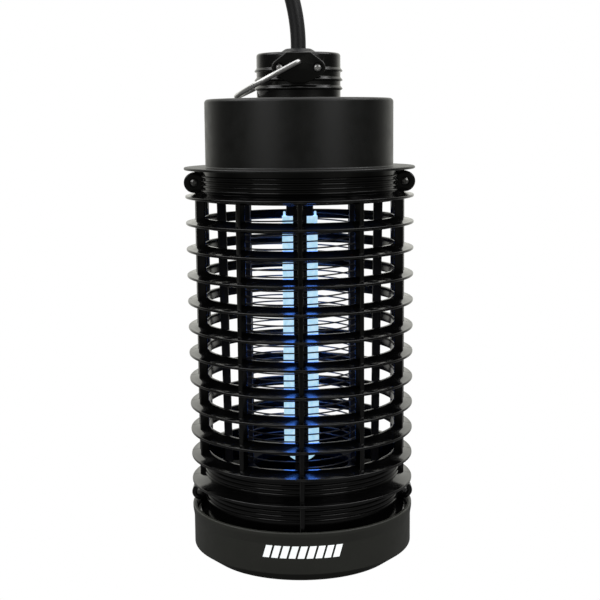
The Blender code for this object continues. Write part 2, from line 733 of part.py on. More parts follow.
def build_grid(materials):
    low = CARRIER_TOP + GAP
    high = DECK_BOTTOM - GAP
    for angle, word in ((0, "front"), (90, "right"), (180, "rear"), (270, "left")):
        post = block(
            f"grid_post_{word}",
            (-POST_WIDTH / 2, -POST_OUTER, low),
            (POST_WIDTH / 2, -POST_INNER, high),
            materials["inner"],
        )
        post.data.transform(Matrix.Rotation(radians(angle), 4, "Z"))
    grid_wire("grid_wire_live", 0.0, materials)
    grid_wire("grid_wire_return", pi, materials)
    lead_low = GRID_BOTTOM + GRID_TURNS * GRID_PITCH
    for side, word, color in ((-1, "return", "white"), (1, "live", "red")):
        x, y = lead_position(side)
        lead_high = BOARD_BOTTOM - GAP
        rod_z(f"grid_lead_{word}", x, y, 1.0 * MM, lead_low, lead_high, materials[color], 8)


def build_lamp(materials):
    """Socket, lamp base with two pins, and the U-shaped tube."""
    socket = block(
        "lamp_socket",
        (-LAMP_BASE_HALF_X, -LAMP_BASE_HALF_Y, LAMP_BASE_TOP + GAP),
        (LAMP_BASE_HALF_X, LAMP_BASE_HALF_Y, SOCKET_TOP),
        materials["inner"],
    )
    bores = []
    for side, word in ((-1, "left"), (1, "right")):
        x = side * LAMP_TUBE_X
        bores.append(rod_z("bore", x, 0, 1.6 * MM, LAMP_BASE_TOP - 1 * MM, SOCKET_TOP + 1 * MM))
        pin_low = LAMP_BASE_TOP - 2.0 * MM
        rod_z(f"lamp_pin_{word}", x, 0, 1.2 * MM, pin_low, LAMP_PIN_TOP, materials["brass"])
    combine(socket, bores, "DIFFERENCE", materials["inner"])
    base = block(
        "lamp_base",
        (-LAMP_BASE_HALF_X, -LAMP_BASE_HALF_Y, LAMP_BASE_BOTTOM),
        (LAMP_BASE_HALF_X, LAMP_BASE_HALF_Y, LAMP_BASE_TOP),
        materials["inner"],
    )
    seats = []
    for side in (-1, 1):
        x = side * LAMP_TUBE_X
        seats.append(rod_z("seat", x, 0, 1.5 * MM, LAMP_BASE_TOP - 2.3 * MM, LAMP_BASE_TOP + 1 * MM))
    combine(base, seats, "DIFFERENCE", materials["inner"])
    bend_z = LAMP_BOTTOM + LAMP_TUBE_RADIUS + LAMP_TUBE_X
    top = LAMP_BASE_BOTTOM - GAP
    path = [(-LAMP_TUBE_X, 0, top), (-LAMP_TUBE_X, 0, (top + bend_z) / 2)]
    bend_steps = 8
    for k in range(bend_steps + 1):
        a = pi * k / bend_steps
        path.append((-LAMP_TUBE_X * cos(a), 0, bend_z - LAMP_TUBE_X * sin(a)))
    path += [(LAMP_TUBE_X, 0, (top + bend_z) / 2), (LAMP_TUBE_X, 0, top)]
    tube("lamp_tube", path, LAMP_TUBE_RADIUS, SMALL_ROUND, materials["glass"])


# --- Electronics -------------------------------------------------------------------------------


def build_electronics(materials):
    """Circuit board and its parts, standing in the cap above the deck."""
    block(
        "circuit_board",
        (-BOARD_HALF_X, -BOARD_HALF_Y, BOARD_BOTTOM),
        (BOARD_HALF_X, BOARD_HALF_Y, BOARD_TOP),
        materials["board"],
    )
    low = BOARD_TOP + GAP
    core_low = (-29 * MM, -11 * MM, low)
    core_high = (-5 * MM, 11 * MM, low + 20 * MM)
    core = block("choke_core", core_low, core_high, materials["component"])
    window = block(
        "window",
        (-23.5 * MM, -12 * MM, low + 4.5 * MM),
        (-10.5 * MM, 12 * MM, low + 15.5 * MM),
    )
    combine(core, [window], "DIFFERENCE", materials["component"])
    block(
        "choke_winding",
        (-23.1 * MM, -14 * MM, low + 4.9 * MM),
        (-10.9 * MM, 14 * MM, low + 15.1 * MM),
        materials["copper"],
    )
    capacitors = ((8.0, -16.0, 5.0, 20.0), (20.0, -16.0, 5.0, 20.0), (22.0, 2.0, 6.2, 16.0))
    for word, (x, y, radius, height) in zip("abc", capacitors):
        name = f"capacitor_{word}"
        top = low + height * MM
        rod_z(name, x * MM, y * MM, radius * MM, low, top, materials["component"])
    resistor_z = low + 2.2 * MM
    bm = bmesh.new()
    ends = (2 * MM, 16 * MM)
    sections = [[(x, 18 * MM + u, v) for u, v in disc_outline(0, resistor_z, 2 * MM, 8)] for x in ends]
    skin(bm, sections)
    add_object("bleed_resistor", bm, materials["copper"])
    for side, word, color in ((-1, "neutral", "white"), (1, "live", "red")):
        start = Vector((side * 2.0 * MM, 0, CABLE_START_Z - GAP - 1.2 * MM))
        end = Vector((side * 2.0 * MM, 4.0 * MM, BOARD_TOP + GAP + 1 * MM))
        path = []
        steps = 6
        for k in range(steps + 1):
            share = k / steps
            point = start.lerp(end, share)
            point.y += 5.0 * MM * sin(pi * share)
            path.append(point)
        tube(f"mains_core_{word}", path, 1.0 * MM, 6, materials[color])


def build_tray(materials):
    """The insect tray: a shallow cup whose inner ledge carries the cage, and which pulls down off it."""
    ledge_top = CAGE_BOTTOM - GAP
    outline = [
        (0.0, 0.0),
        (TRAY_FOOT_RADIUS, 0.0),
        (TRAY_BODY_RADIUS, TRAY_SLOPE_TOP),
        (TRAY_BODY_RADIUS, TRAY_LIP_BOTTOM - 1.0 * MM),
        (TRAY_RADIUS, TRAY_LIP_BOTTOM),
        (TRAY_RADIUS, TRAY_HEIGHT - 0.5 * MM),
        (TRAY_RADIUS - 0.5 * MM, TRAY_HEIGHT),
        (TRAY_INNER, TRAY_HEIGHT),
        (TRAY_INNER, ledge_top),
        (TRAY_LEDGE_INNER, ledge_top),
        (TRAY_LEDGE_INNER, ledge_top - TRAY_LEDGE_THICKNESS),
        (TRAY_INNER, ledge_top - TRAY_LEDGE_THICKNESS),
        (TRAY_INNER, TRAY_SLOPE_TOP + 1.0 * MM),
        (TRAY_FOOT_RADIUS, TRAY_FLOOR),
        (0.0, TRAY_FLOOR),
    ]
    turned("base_tray", outline, materials["case"])


def main():
    for obj in list(bpy.data.objects):
        bpy.data.objects.remove(obj)
    materials = make_materials()
    build_tray(materials)
    build_cage(materials)
    build_cap(materials)
    build_neck(materials)
    build_bail(materials)
    build_cord(materials)
    build_deck(materials)
    build_carrier(materials)
    build_grid(materials)
    build_lamp(materials)
    build_electronics(materials)


main()
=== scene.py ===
"""The looks of the electric bug zapper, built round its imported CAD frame.

Metres, +Z up, the front faces -Y. The visible pieces are turned, swept or moulded again at a fine step,
with rounded edges, and stand for their CAD nodes. The other nodes keep their CAD shape. Every piece
gets a procedural material.
"""

import json
from math import asin, atan2, cos, pi, radians, sin, tan, tau

import bmesh
import bpy
from mathutils import Matrix, Vector


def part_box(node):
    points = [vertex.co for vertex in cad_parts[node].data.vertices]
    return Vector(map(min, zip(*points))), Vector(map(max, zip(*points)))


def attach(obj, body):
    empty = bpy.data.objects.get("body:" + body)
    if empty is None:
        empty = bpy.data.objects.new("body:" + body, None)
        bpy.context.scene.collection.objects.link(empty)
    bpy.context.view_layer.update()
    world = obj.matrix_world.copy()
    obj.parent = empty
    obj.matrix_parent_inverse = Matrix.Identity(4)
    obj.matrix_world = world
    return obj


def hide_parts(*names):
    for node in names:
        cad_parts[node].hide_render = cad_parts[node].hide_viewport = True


MM = 0.001
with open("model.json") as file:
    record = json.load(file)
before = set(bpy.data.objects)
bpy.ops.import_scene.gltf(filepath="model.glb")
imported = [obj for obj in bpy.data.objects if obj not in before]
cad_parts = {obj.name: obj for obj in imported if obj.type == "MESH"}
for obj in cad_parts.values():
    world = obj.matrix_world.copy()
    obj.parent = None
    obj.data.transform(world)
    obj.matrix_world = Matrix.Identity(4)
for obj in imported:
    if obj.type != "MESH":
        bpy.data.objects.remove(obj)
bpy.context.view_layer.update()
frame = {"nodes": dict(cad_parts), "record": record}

BODY_OF = {
    node: body
    for body, nodes in frame["record"]["behaviour"]["bodies"].items()
    for node in nodes
}
SLOT_OF = {row["node"]: row["material_slot"] for row in frame["record"]["subparts"]}

# --- Places and sizes, from the frame ------------------------------------------------------------

_, tray_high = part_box("base_tray")
_, cap_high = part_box("cap_housing")
cage_low, cage_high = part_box("cage_front")
neck_low, neck_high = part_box("neck_front")
grommet_low, grommet_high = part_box("cord_grommet")
cable_low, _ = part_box("power_cable")
plug_low, plug_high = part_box("plug_body")
_, bail_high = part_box("hanging_bail")
tube_low, tube_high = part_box("lamp_tube")
_, lamp_base_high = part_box("lamp_base")
post_low, post_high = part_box("grid_post_front")

CAGE_TOP = cage_high.z
CAGE_BOTTOM = cage_low.z
CAP_TOP = cap_high.z
NECK_TOP = neck_high.z

# Tray.
TRAY_RADIUS = tray_high.x
TRAY_TOP = tray_high.z
TRAY_LIP_BOTTOM = 26.4 * MM
TRAY_BODY_RADIUS = 61.2 * MM
TRAY_INNER = 59.7 * MM
TRAY_FLOOR = 2.2 * MM
TRAY_FOOT_RADIUS = 52.1 * MM
TRAY_SLOPE_TOP = 6.5 * MM
TRAY_LEDGE_INNER = 56.2 * MM
TRAY_LEDGE_THICKNESS = 1.6 * MM
PRINT_BARS = 9
PRINT_WIDTH = 3.5 * MM
PRINT_GAP = 1.2 * MM
PRINT_HEIGHT = 6.6 * MM
PRINT_SLANT = 2.0 * MM
PRINT_Z = 18.6 * MM
PRINT_PROUD = 0.05 * MM
PRINT_SUNK = 0.3 * MM

# Cage.
RING_COUNT = 12
TOP_RING_Z = 202.1 * MM
RING_PITCH = 14.4 * MM
FIRST_RING_RADIUS = 62.7 * MM
LAST_RING_RADIUS = 61.9 * MM
FLANGE_THICKNESS = 1.4 * MM
HOOP_INNER = 52.2 * MM
HOOP_OUTER = 54.2 * MM
HOOP_ABOVE = 2.6 * MM
HOOP_BELOW = 2.9 * MM
SWEEP_STEPS = 10
WALL_INNER = 52.6 * MM
WALL_OUTER = 53.9 * MM
BEAD_PROUD = 0.8 * MM
BEAD_HALF_HEIGHT = 0.75 * MM
BEAD_PITCH = 2.37 * MM
BEADS_PER_BAND = 4
TOP_BEADS_ABOVE_RING = 6.7 * MM
LOW_BEADS_BELOW_RING = 6.9 * MM
GUIDE_RADIUS = 59.0 * MM
GUIDE_THICKNESS = 1.5 * MM
OPEN_RIB_ANGLES = (-76, -33.8, 33.8, 76)
RIB_WIDTH = 2.8 * MM
RIB_INNER = 52.9 * MM
RIB_OUTER = 57.8 * MM
RIB_EDGE = 0.8 * MM
SEAM_RIB_WIDTH = 2.6 * MM
SEAM_GAP = 0.15 * MM
EAR_X = 57.6 * MM
EAR_DEPTH = 5.5 * MM
EARS = ((209.0 * MM, 5.6 * MM), (34.9 * MM, 4.6 * MM))
EAR_SEAT_RADIUS = 2.7 * MM
EAR_SEAT_DEPTH = 1.9 * MM
SCREW_BORE = 1.5 * MM
RING_END_ANGLE = radians(89.8)
WALL_END_ANGLE = radians(89.76)
INSIDE_GUIDE = CAGE_BOTTOM + GUIDE_THICKNESS / 2
LOW_OPEN_RING = TOP_RING_Z - (RING_COUNT - 2) * RING_PITCH
LAST_RING = LOW_OPEN_RING - RING_PITCH

# Screws.
SCREW_HEAD_HEIGHT = 1.25 * MM
SCREW_SHANK_RADIUS = 1.15 * MM
SCREW_TIP_LENGTH = 1.5 * MM
CROSS_HALF_WIDTH = 0.32 * MM
CROSS_DEPTH = 0.75 * MM

# Cap and neck.
CAP_FLANGE_RADIUS = cap_high.x
CAP_FLANGE_BOTTOM = CAGE_TOP + 0.3 * MM
CAP_RADIUS = 51.4 * MM
CAP_WALL = 2.2 * MM
CAP_TOP_WALL = 2.4 * MM
CAP_FILLET = 2.0 * MM
CAP_BOSS_RADIUS = 4.0 * MM
CAP_BOSS_ABOVE_DECK = 2.9 * MM
NECK_RADIUS = 22.75 * MM
NECK_WALL = 2.7 * MM
NECK_FOOT_RADIUS = 25.3 * MM
NECK_END_ANGLE = radians(89.4)
RIDGE_RADIUS = 23.85 * MM
RIDGE_HEIGHTS = (259.1 * MM, 263.7 * MM, 268.6 * MM)
PAD_FACE = 24.1 * MM
PAD_BACK = 18.0 * MM
NECK_SCREW_X = 10.0 * MM
NECK_SCREW_Z = 269.6 * MM
NECK_SEAT_RADIUS = 2.6 * MM
NECK_SEAT_DEPTH = 2.6 * MM
NECK_BOSS_RADIUS = 3.4 * MM
LOBE_RADIUS = 4.2 * MM

# Bail and cord.
PIVOT_Z = 272.6 * MM
BAIL_WIRE = 1.2 * MM
BAIL_EXTRA = 0.15 * MM  # the visible wire's radius over the CAD's
BAIL_REACH = 38.0 * MM
BAIL_END = 19.8 * MM
BAIL_PIN_MIDDLE = 22.0 * MM
BAIL_BEND = 1.6 * MM
BAIL_OVER_CAP = 0.3 * MM
CABLE_RADIUS = 4.1 * MM
CABLE_BEND_Z = 282.1 * MM
CABLE_BEND_RADIUS = 100.0 * MM
CABLE_BEND_ANGLE = radians(20)
GROMMET_BORE = 4.4 * MM
GROMMET_STEM = 5.9 * MM

# Plug, in millimetres: its grooved sleeve, and the grip's (half width, half depth, height) sections.
SLEEVE_RINGS = 24
SLEEVE_LENGTH = 10.0
SLEEVE_RADIUS = 5.2
SLEEVE_FLARE = 0.06
SLEEVE_GROOVE = 0.35
GRIP_SECTIONS = (
    (6.4, 6.0, 10.6),
    (8.6, 6.4, 12.8),
    (12.6, 6.8, 16.0),
    (15.6, 7.0, 19.0),
    (17.0, 7.15, 22.5),
    (17.5, 7.2, 28.0),
    (17.6, 7.2, 33.6),
    (17.3, 6.9, 35.2),
    (16.6, 6.3, 36.0),
)

# Grid and lamp.
GRID_RADIUS = 33.3 * MM
GRID_WIRE = 0.42 * MM
GRID_PITCH = 7.45 * MM
GRID_BOTTOM = 55.9 * MM
GRID_TURNS = 18
POST_INNER = 27.4 * MM
POST_OUTER = 31.6 * MM
POST_TOOTH = 0.9 * MM
TOOTH_BELOW, TOOTH_ABOVE = 1.95 * MM, 0.6 * MM
TOOTH_START, TOOTH_END = 2.3 * MM, 1.0 * MM
PILLAR_TOP = (43.2 * MM, 4.9 * MM)
PILLAR_BOTTOM = (41.2 * MM, 4.1 * MM)
PILLAR_DEPTH = 6.0 * MM
LAMP_TUBE_X = 5.2 * MM
LAMP_TUBE_RADIUS = 4.6 * MM
LAMP_TIP_X = 8.5 * MM
LAMP_TIP_RADIUS = 0.65 * MM
LAMP_TIP_HEIGHT = 2.6 * MM
LAMP_BASE_BORE, LAMP_BASE_BORE_DEPTH = 1.5 * MM, 2.3 * MM
SOCKET_BORE, SOCKET_BORE_DEPTH = 1.6 * MM, 9.0 * MM

# Brightness of the studio, by angle in degrees from the camera's side round to the back.
STUDIO_GLOW = (
    (0, 0.07),
    (10, 0.08),
    (22, 0.11),
    (38, 0.16),
    (52, 0.15),
    (70, 0.08),
    (84, 0.05),
    (108, 0.06),
    (122, 0.20),
    (142, 0.74),
    (160, 0.90),
)
STUDIO_BLUE = 0.93
OVERHEAD_GLOW = 1.5
OVERHEAD_FROM, OVERHEAD_TO = 0.70, 0.85
# The print's own glow: painted light that keeps the white bars bright.
PRINT_GLOW = 0.9

# The lamp's strength to the camera and in the light it throws.
LAMP_SEEN_POWER = 0.9
LAMP_THROWN_POWER = 5.0
LAMP_THROWN_COLOR = (0.07, 0.25, 1.0)
RUBBED_EDGE_COLOR = (0.06, 0.06, 0.057)

# Floor: its place, and the brightness that reflections of it have: a painted shadow near the object, and the
# studio further out.
FLOOR_Z = -46.0 * MM
FLOOR_HALF = 4.0
FLOOR_SHADOW_GLOW, FLOOR_NEAR_GLOW = 0.02, 0.16
FLOOR_SHADOW_SPAN = (0.05, 0.10)
FLOOR_FAR_SPAN = (0.25, 1.0)

# Soft lights, each on both sides: place on the right, size and power.
LIGHT_TARGET = (0, 0, 0.15)
FRONT_LIGHT = ((0.69, -0.82, 0.70), (0.6, 0.5), 1.8)
HIGH_LIGHT = ((1.05, 0.0, 1.20), (0.9, 0.6), 5.0)

# Camera, fitted to the outlines of the twelve rings.
CAMERA_PLACE = (-0.28 * MM, -681.5 * MM, 241.3 * MM)
CAMERA_LENS = 74.15
CAMERA_SENSOR = 36.0
CAMERA_TILT = radians(8.195)
CAMERA_ROLL = radians(-0.505)

# Fineness.
TURN_STEPS = 144
HALF_STEPS = 72


# --- Materials ------------------------------------------------------------------------------------


def new_material(name):
    """A node material, with its tree and its Principled shader."""
    material = bpy.data.materials.new(name)
    material.use_nodes = True
    tree = material.node_tree
    return material, tree, tree.nodes["Principled BSDF"]


def add_node(tree, kind, **values):
    """A node with its inputs or settings given by name."""
    node = tree.nodes.new(kind)
    for name, value in values.items():
        if name in node.inputs:
            node.inputs[name].default_value = value
        else:
            setattr(node, name, value)
    return node


def noise(tree, scale, detail=3.0, stretch=None):
    """Noise over the piece's own coordinates, in cycles per metre."""
    place = add_node(tree, "ShaderNodeTexCoord")
    texture = add_node(tree, "ShaderNodeTexNoise", Scale=scale, Detail=detail)
    source = place.outputs["Object"]
    if stretch:
        mapping = add_node(tree, "ShaderNodeMapping", Scale=stretch)
        tree.links.new(source, mapping.inputs["Vector"])
        source = mapping.outputs["Vector"]
    tree.links.new(source, texture.inputs["Vector"])
    return texture.outputs["Fac"]


def spread(tree, source, low, high, start=0.3, end=0.7):
    """Map a 0-1 noise onto a range."""
    node = add_node(tree, "ShaderNodeMapRange")
    node.inputs["From Min"].default_value = start
    node.inputs["From Max"].default_value = end
    node.inputs["To Min"].default_value = low
    node.inputs["To Max"].default_value = high
    tree.links.new(source, node.inputs["Value"])
    return node.outputs["Result"]


def blend_colors(tree, factor, first, second):
    node = add_node(tree, "ShaderNodeMix", data_type="RGBA")
    tree.links.new(factor, node.inputs["Factor"])
    for socket, color in ((node.inputs["A"], first), (node.inputs["B"], second)):
        socket.default_value = (*color, 1.0)
    return node.outputs["Result"]


def bump(tree, shader, height, distance, strength):
    node = add_node(tree, "ShaderNodeBump", Strength=strength, Distance=distance)
    tree.links.new(height, node.inputs["Height"])
    tree.links.new(node.outputs["Normal"], shader.inputs["Normal"])


def grained(name, dark, light, roughness, grain, depth, metallic=0.0, stretch=None, specular=0.5):
    """A solid with slow colour and gloss variation and a fine surface grain."""
    material, tree, shader = new_material(name)
    slow = noise(tree, 45.0, 4.0, stretch)
    color = blend_colors(tree, spread(tree, slow, 0.0, 1.0), dark, light)
    tree.links.new(color, shader.inputs["Base Color"])
    gloss = noise(tree, 160.0, 5.0, stretch)
    tree.links.new(spread(tree, gloss, *roughness), shader.inputs["Roughness"])
    bump(tree, shader, noise(tree, grain, 2.0, stretch), 0.1 * MM, depth)
    shader.inputs["Metallic"].default_value = metallic
    shader.inputs["Specular IOR Level"].default_value = specular
    return material


def worn_plastic(name, dark, light, roughness, specular):
    """Moulded plastic with a fine grain, whose sharp edges are rubbed a little paler."""
    material = grained(name, dark, light, roughness, 2200.0, 0.10, 0.0, None, specular)
    tree = material.node_tree
    shader = tree.nodes["Principled BSDF"]
    body_color = shader.inputs["Base Color"].links[0].from_socket
    geometry = add_node(tree, "ShaderNodeNewGeometry")
    edge = spread(tree, geometry.outputs["Pointiness"], 0.0, 0.5, 0.53, 0.62)
    mix = add_node(tree, "ShaderNodeMix", data_type="RGBA")
    mix.inputs["B"].default_value = (*RUBBED_EDGE_COLOR, 1.0)
    tree.links.new(edge, mix.inputs["Factor"])
    tree.links.new(body_color, mix.inputs["A"])
    tree.links.new(mix.outputs["Result"], shader.inputs["Base Color"])
    return material


def lamp_glass():
    """The glowing tube: pale blue to the eye, and a stronger, deeper blue in the light it throws."""
    material, tree, shader = new_material("glowing_tube")
    shader.inputs["Base Color"].default_value = (0.5, 0.7, 0.85, 1.0)
    shader.inputs["Roughness"].default_value = 0.25
    mottle = spread(tree, noise(tree, 420.0, 4.0), 0.0, 1.0)
    seen = blend_colors(tree, mottle, (0.36, 0.66, 0.86), (0.62, 0.86, 0.98))
    path = add_node(tree, "ShaderNodeLightPath")
    color = add_node(tree, "ShaderNodeMix", data_type="RGBA")
    color.inputs["A"].default_value = (*LAMP_THROWN_COLOR, 1.0)
    tree.links.new(path.outputs["Is Camera Ray"], color.inputs["Factor"])
    tree.links.new(seen, color.inputs["B"])
    tree.links.new(color.outputs["Result"], shader.inputs["Emission Color"])
    power = add_node(tree, "ShaderNodeMapRange")
    power.inputs["To Min"].default_value = LAMP_THROWN_POWER
    power.inputs["To Max"].default_value = LAMP_SEEN_POWER
    tree.links.new(path.outputs["Is Camera Ray"], power.inputs["Value"])
    tree.links.new(power.outputs["Result"], shader.inputs["Emission Strength"])
    return material


def self_glowing_print(ink):
    """White print that glows by itself: painted light, which keeps it bright under the dim studio."""
    material = grained("white_print", *ink, 2500.0, 0.15)
    shader = material.node_tree.nodes["Principled BSDF"]
    color = shader.inputs["Base Color"].links[0].from_socket
    material.node_tree.links.new(color, shader.inputs["Emission Color"])
    shader.inputs["Emission Strength"].default_value = PRINT_GLOW
    return material


def make_materials():
    upright = (1.0, 1.0, 0.06)
    case = ((0.0030, 0.0032, 0.0028), (0.0050, 0.0053, 0.0046), (0.34, 0.42))
    # The tray is the case's plastic with its colour made about ten times paler. Its olive tint is real; the
    # extra paleness is painted light standing in for the lit floor that the tray reflects.
    tray = ((0.031, 0.0320, 0.0268), (0.038, 0.0393, 0.0330), (0.40, 0.50))
    cage = ((0.0015, 0.0015, 0.0016), (0.003, 0.003, 0.0032), (0.10, 0.18))
    neck = ((0.0030, 0.0032, 0.0030), (0.0050, 0.0053, 0.0050), (0.16, 0.24))
    carrier = ((0.002, 0.002, 0.0022), (0.004, 0.004, 0.0044), (0.45, 0.55))
    inner = ((0.028, 0.028, 0.032), (0.048, 0.048, 0.054), (0.45, 0.55))
    rubber = ((0.008, 0.008, 0.009), (0.020, 0.020, 0.022), (0.38, 0.55))
    steel = ((0.78, 0.78, 0.77), (0.92, 0.92, 0.91), (0.26, 0.38))
    screw = ((0.16, 0.16, 0.16), (0.34, 0.34, 0.33), (0.22, 0.36))
    grid = ((0.10, 0.10, 0.10), (0.22, 0.21, 0.20), (0.25, 0.42))
    brass = ((0.55, 0.42, 0.18), (0.78, 0.62, 0.30), (0.16, 0.32))
    board = ((0.02, 0.12, 0.04), (0.05, 0.22, 0.09), (0.35, 0.50))
    component = ((0.02, 0.02, 0.03), (0.05, 0.05, 0.08), (0.30, 0.45))
    copper = ((0.45, 0.18, 0.07), (0.70, 0.32, 0.14), (0.25, 0.40))
    red = ((0.35, 0.02, 0.02), (0.55, 0.05, 0.04), (0.35, 0.50))
    white = ((0.60, 0.60, 0.57), (0.78, 0.78, 0.75), (0.35, 0.50))
    ink = ((0.72, 0.76, 0.76), (0.85, 0.88, 0.88), (0.45, 0.60))
    return {
        "case": worn_plastic("case_plastic", *case, 0.5),
        "cage": worn_plastic("cage_plastic", *cage, 0.5),
        "tray": worn_plastic("tray_plastic_painted_light", *tray, 0.5),
        "neck": worn_plastic("neck_plastic", *neck, 0.5),
        "carrier": grained("carrier_plastic", *carrier, 1800.0, 0.15, specular=0.1),
        "inner": grained("inner_plastic", *inner, 1800.0, 0.15, specular=0.2),
        "rubber": grained("cord_rubber", *rubber, 900.0, 0.3, 0.0, upright),
        "steel": grained("bright_steel", *steel, 1500.0, 0.05, 0.85),
        "screw": grained("screw_steel", *screw, 1500.0, 0.10, 1.0),
        "grid": grained("grid_steel", *grid, 1500.0, 0.1, 0.9),
        "brass": grained("pin_brass", *brass, 1500.0, 0.05, 1.0),
        "glass": lamp_glass(),
        "board": grained("board_laminate", *board, 700.0, 0.2),
        "component": grained("component_case", *component, 1200.0, 0.1),
        "copper": grained("copper_winding", *copper, 2500.0, 0.5, 1.0),
        "red": grained("lead_red", *red, 900.0, 0.1),
        "white": grained("lead_white", *white, 900.0, 0.1),
        "print": self_glowing_print(ink),
    }


MATERIAL_OF_SLOT = {
    "case_plastic": "case",
    "cage_plastic": "cage",
    "inner_plastic": "inner",
    "cord_rubber": "rubber",
    "bright_steel": "steel",
    "grid_steel": "grid",
    "pin_brass": "brass",
    "lamp_glass": "glass",
    "board_laminate": "board",
    "component_case": "component",
    "copper_winding": "copper",
    "lead_red": "red",
    "lead_white": "white",
}
LOOK_OF_NODE = {"grid_carrier": "carrier"}
MATERIALS = make_materials()


# --- Mesh tools -----------------------------------------------------------------------------------


def add_object(name, bm):
    """Close the mesh up, smooth it and put it in the scene."""
    bmesh.ops.remove_doubles(bm, verts=bm.verts, dist=1e-7)
    bmesh.ops.recalc_face_normals(bm, faces=bm.faces)
    mesh = bpy.data.meshes.new(name)
    bm.to_mesh(mesh)
    bm.free()
    smooth(mesh)
    obj = bpy.data.objects.new(name, mesh)
    bpy.context.scene.collection.objects.link(obj)
    return obj


def smooth(mesh):
    mesh.shade_smooth()
    mesh.set_sharp_from_angle(angle=radians(38))


def skin(bm, sections, closed=False):
    """Join loops of equal length with quads, and cap the two ends unless the run is closed."""
    loops = [[bm.verts.new(point) for point in section] for section in sections]
    size = len(loops[0])
    pairs = list(zip(loops, loops[1:]))
    if closed:
        pairs.append((loops[-1], loops[0]))
    for here, there in pairs:
        for i in range(size):
            j = (i + 1) % size
            bm.faces.new((here[i], here[j], there[j], there[i]))
    if not closed:
        bm.faces.new(loops[0])
        bm.faces.new(loops[-1])


def filleted(corners, steps=3):
    """A closed outline with rounded corners, from (u, v, radius) corners."""
    outline = []
    count = len(corners)
    for i, (u, v, radius) in enumerate(corners):
        point = Vector((u, v))
        if radius == 0:
            outline.append((u, v))
            continue
        to_last = Vector(corners[i - 1][:2]) - point
        to_next = Vector(corners[(i + 1) % count][:2]) - point
        half = to_last.angle(to_next) / 2
        reach = min(radius / tan(half), 0.48 * to_last.length, 0.48 * to_next.length)
        round_radius = reach * tan(half)
        inward = (to_last.normalized() + to_next.normalized()).normalized()
        center = point + inward * (round_radius / sin(half))
        first = point + to_last.normalized() * reach - center
        last = point + to_next.normalized() * reach - center
        start = atan2(first.y, first.x)
        turn = (atan2(last.y, last.x) - start + pi) % tau - pi
        for k in range(steps + 1):
            a = start + turn * k / steps
            outline.append((center.x + round_radius * cos(a), center.y + round_radius * sin(a)))
    return outline


def turned(name, outline, end_angle=None, steps=TURN_STEPS, start_angle=None):
    """Turn a closed (radius, height) outline about Z, all round or between two angles from the front."""
    bm = bmesh.new()
    if end_angle is None:
        angles = [tau * step / steps for step in range(steps)]
    else:
        first = -end_angle if start_angle is None else start_angle
        angles = [first + (end_angle - first) * step / steps for step in range(steps + 1)]
    sections = [[(r * sin(a), -r * cos(a), z) for r, z in outline] for a in angles]
    skin(bm, sections, closed=end_angle is None)
    return add_object(name, bm)


def prism(name, outline, low, high, axis):
    """Extrude an outline of the other two axes along Y or Z."""
    bm = bmesh.new()
    if axis == "Y":
        sections = [[(u, w, v) for u, v in outline] for w in (low, high)]
    else:
        sections = [[(u, v, w) for u, v in outline] for w in (low, high)]
    skin(bm, sections)
    return add_object(name, bm)


def circle(u, v, radius, steps=32):
    return [(u + radius * cos(tau * i / steps), v + radius * sin(tau * i / steps)) for i in range(steps)]


def soft_prism(name, outline, low, high, axis, edge, steps=3):
    """An extrusion whose two ends are rounded over: its outline shrinks by the edge radius there."""
    center = Vector((sum(u for u, _ in outline), sum(v for _, v in outline))) / len(outline)
    rounding = []
    for k in range(steps + 1):
        a = pi / 2 * k / steps
        rounding.append((edge * (1 - cos(a)), edge * (1 - sin(a))))
    places = [(low + depth, inset) for depth, inset in rounding]
    places += [(high - depth, inset) for depth, inset in reversed(rounding)]
    sections = []
    for w, inset in places:
        loop = []
        for u, v in outline:
            offset = Vector((u, v)) - center
            moved = center + offset * (1 - inset / offset.length)
            loop.append((moved.x, w, moved.y) if axis == "Y" else (moved.x, moved.y, w))
        sections.append(loop)
    bm = bmesh.new()
    skin(bm, sections)
    return add_object(name, bm)


def tube(name, path, radius, sides):
    """Sweep a round section along a path, turning it as little as possible on the way."""
    points = [Vector(point) for point in path]
    bm = bmesh.new()
    sections = []
    side = None
    for i, point in enumerate(points):
        before = points[max(i - 1, 0)]
        after = points[min(i + 1, len(points) - 1)]
        along = (after - before).normalized()
        if side is None:
            side = along.orthogonal().normalized()
        side = (side - along * side.dot(along)).normalized()
        up = along.cross(side)
        angles = [tau * k / sides for k in range(sides)]
        sections.append([point + radius * (cos(a) * side + sin(a) * up) for a in angles])
    skin(bm, sections)
    return add_object(name, bm)


def combine(body, tools, operation):
    """Join closed meshes to the body, or cut them from it, and drop them."""
    group = bpy.data.collections.new("tools")
    bpy.context.scene.collection.children.link(group)
    for tool in tools:
        bpy.context.scene.collection.objects.unlink(tool)
        group.objects.link(tool)
    modifier = body.modifiers.new("join", "BOOLEAN")
    modifier.operation = operation
    modifier.solver = "MANIFOLD"
    modifier.operand_type = "COLLECTION"
    modifier.collection = group
    graph = bpy.context.evaluated_depsgraph_get()
    mesh = bpy.data.meshes.new_from_object(body.evaluated_get(graph))
    body.modifiers.clear()
    body.data = mesh
    smooth(mesh)
    for tool in tools:
        bpy.data.objects.remove(tool)
    bpy.data.collections.remove(group)
    return body


def dress(obj, material):
    obj.data.materials.clear()
    obj.data.materials.append(MATERIALS[material])
    return obj


def stand_for(obj, node):
    """Make a finished piece take the place of a CAD node, with that node's body and the material of its
    slot.
    """
    slot = SLOT_OF[node]
    dress(obj, MATERIAL_OF_SLOT[slot])
    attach(obj, BODY_OF[node])
    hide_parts(node)
    return obj


# --- Cage -----------------------------------------------------------------------------------------


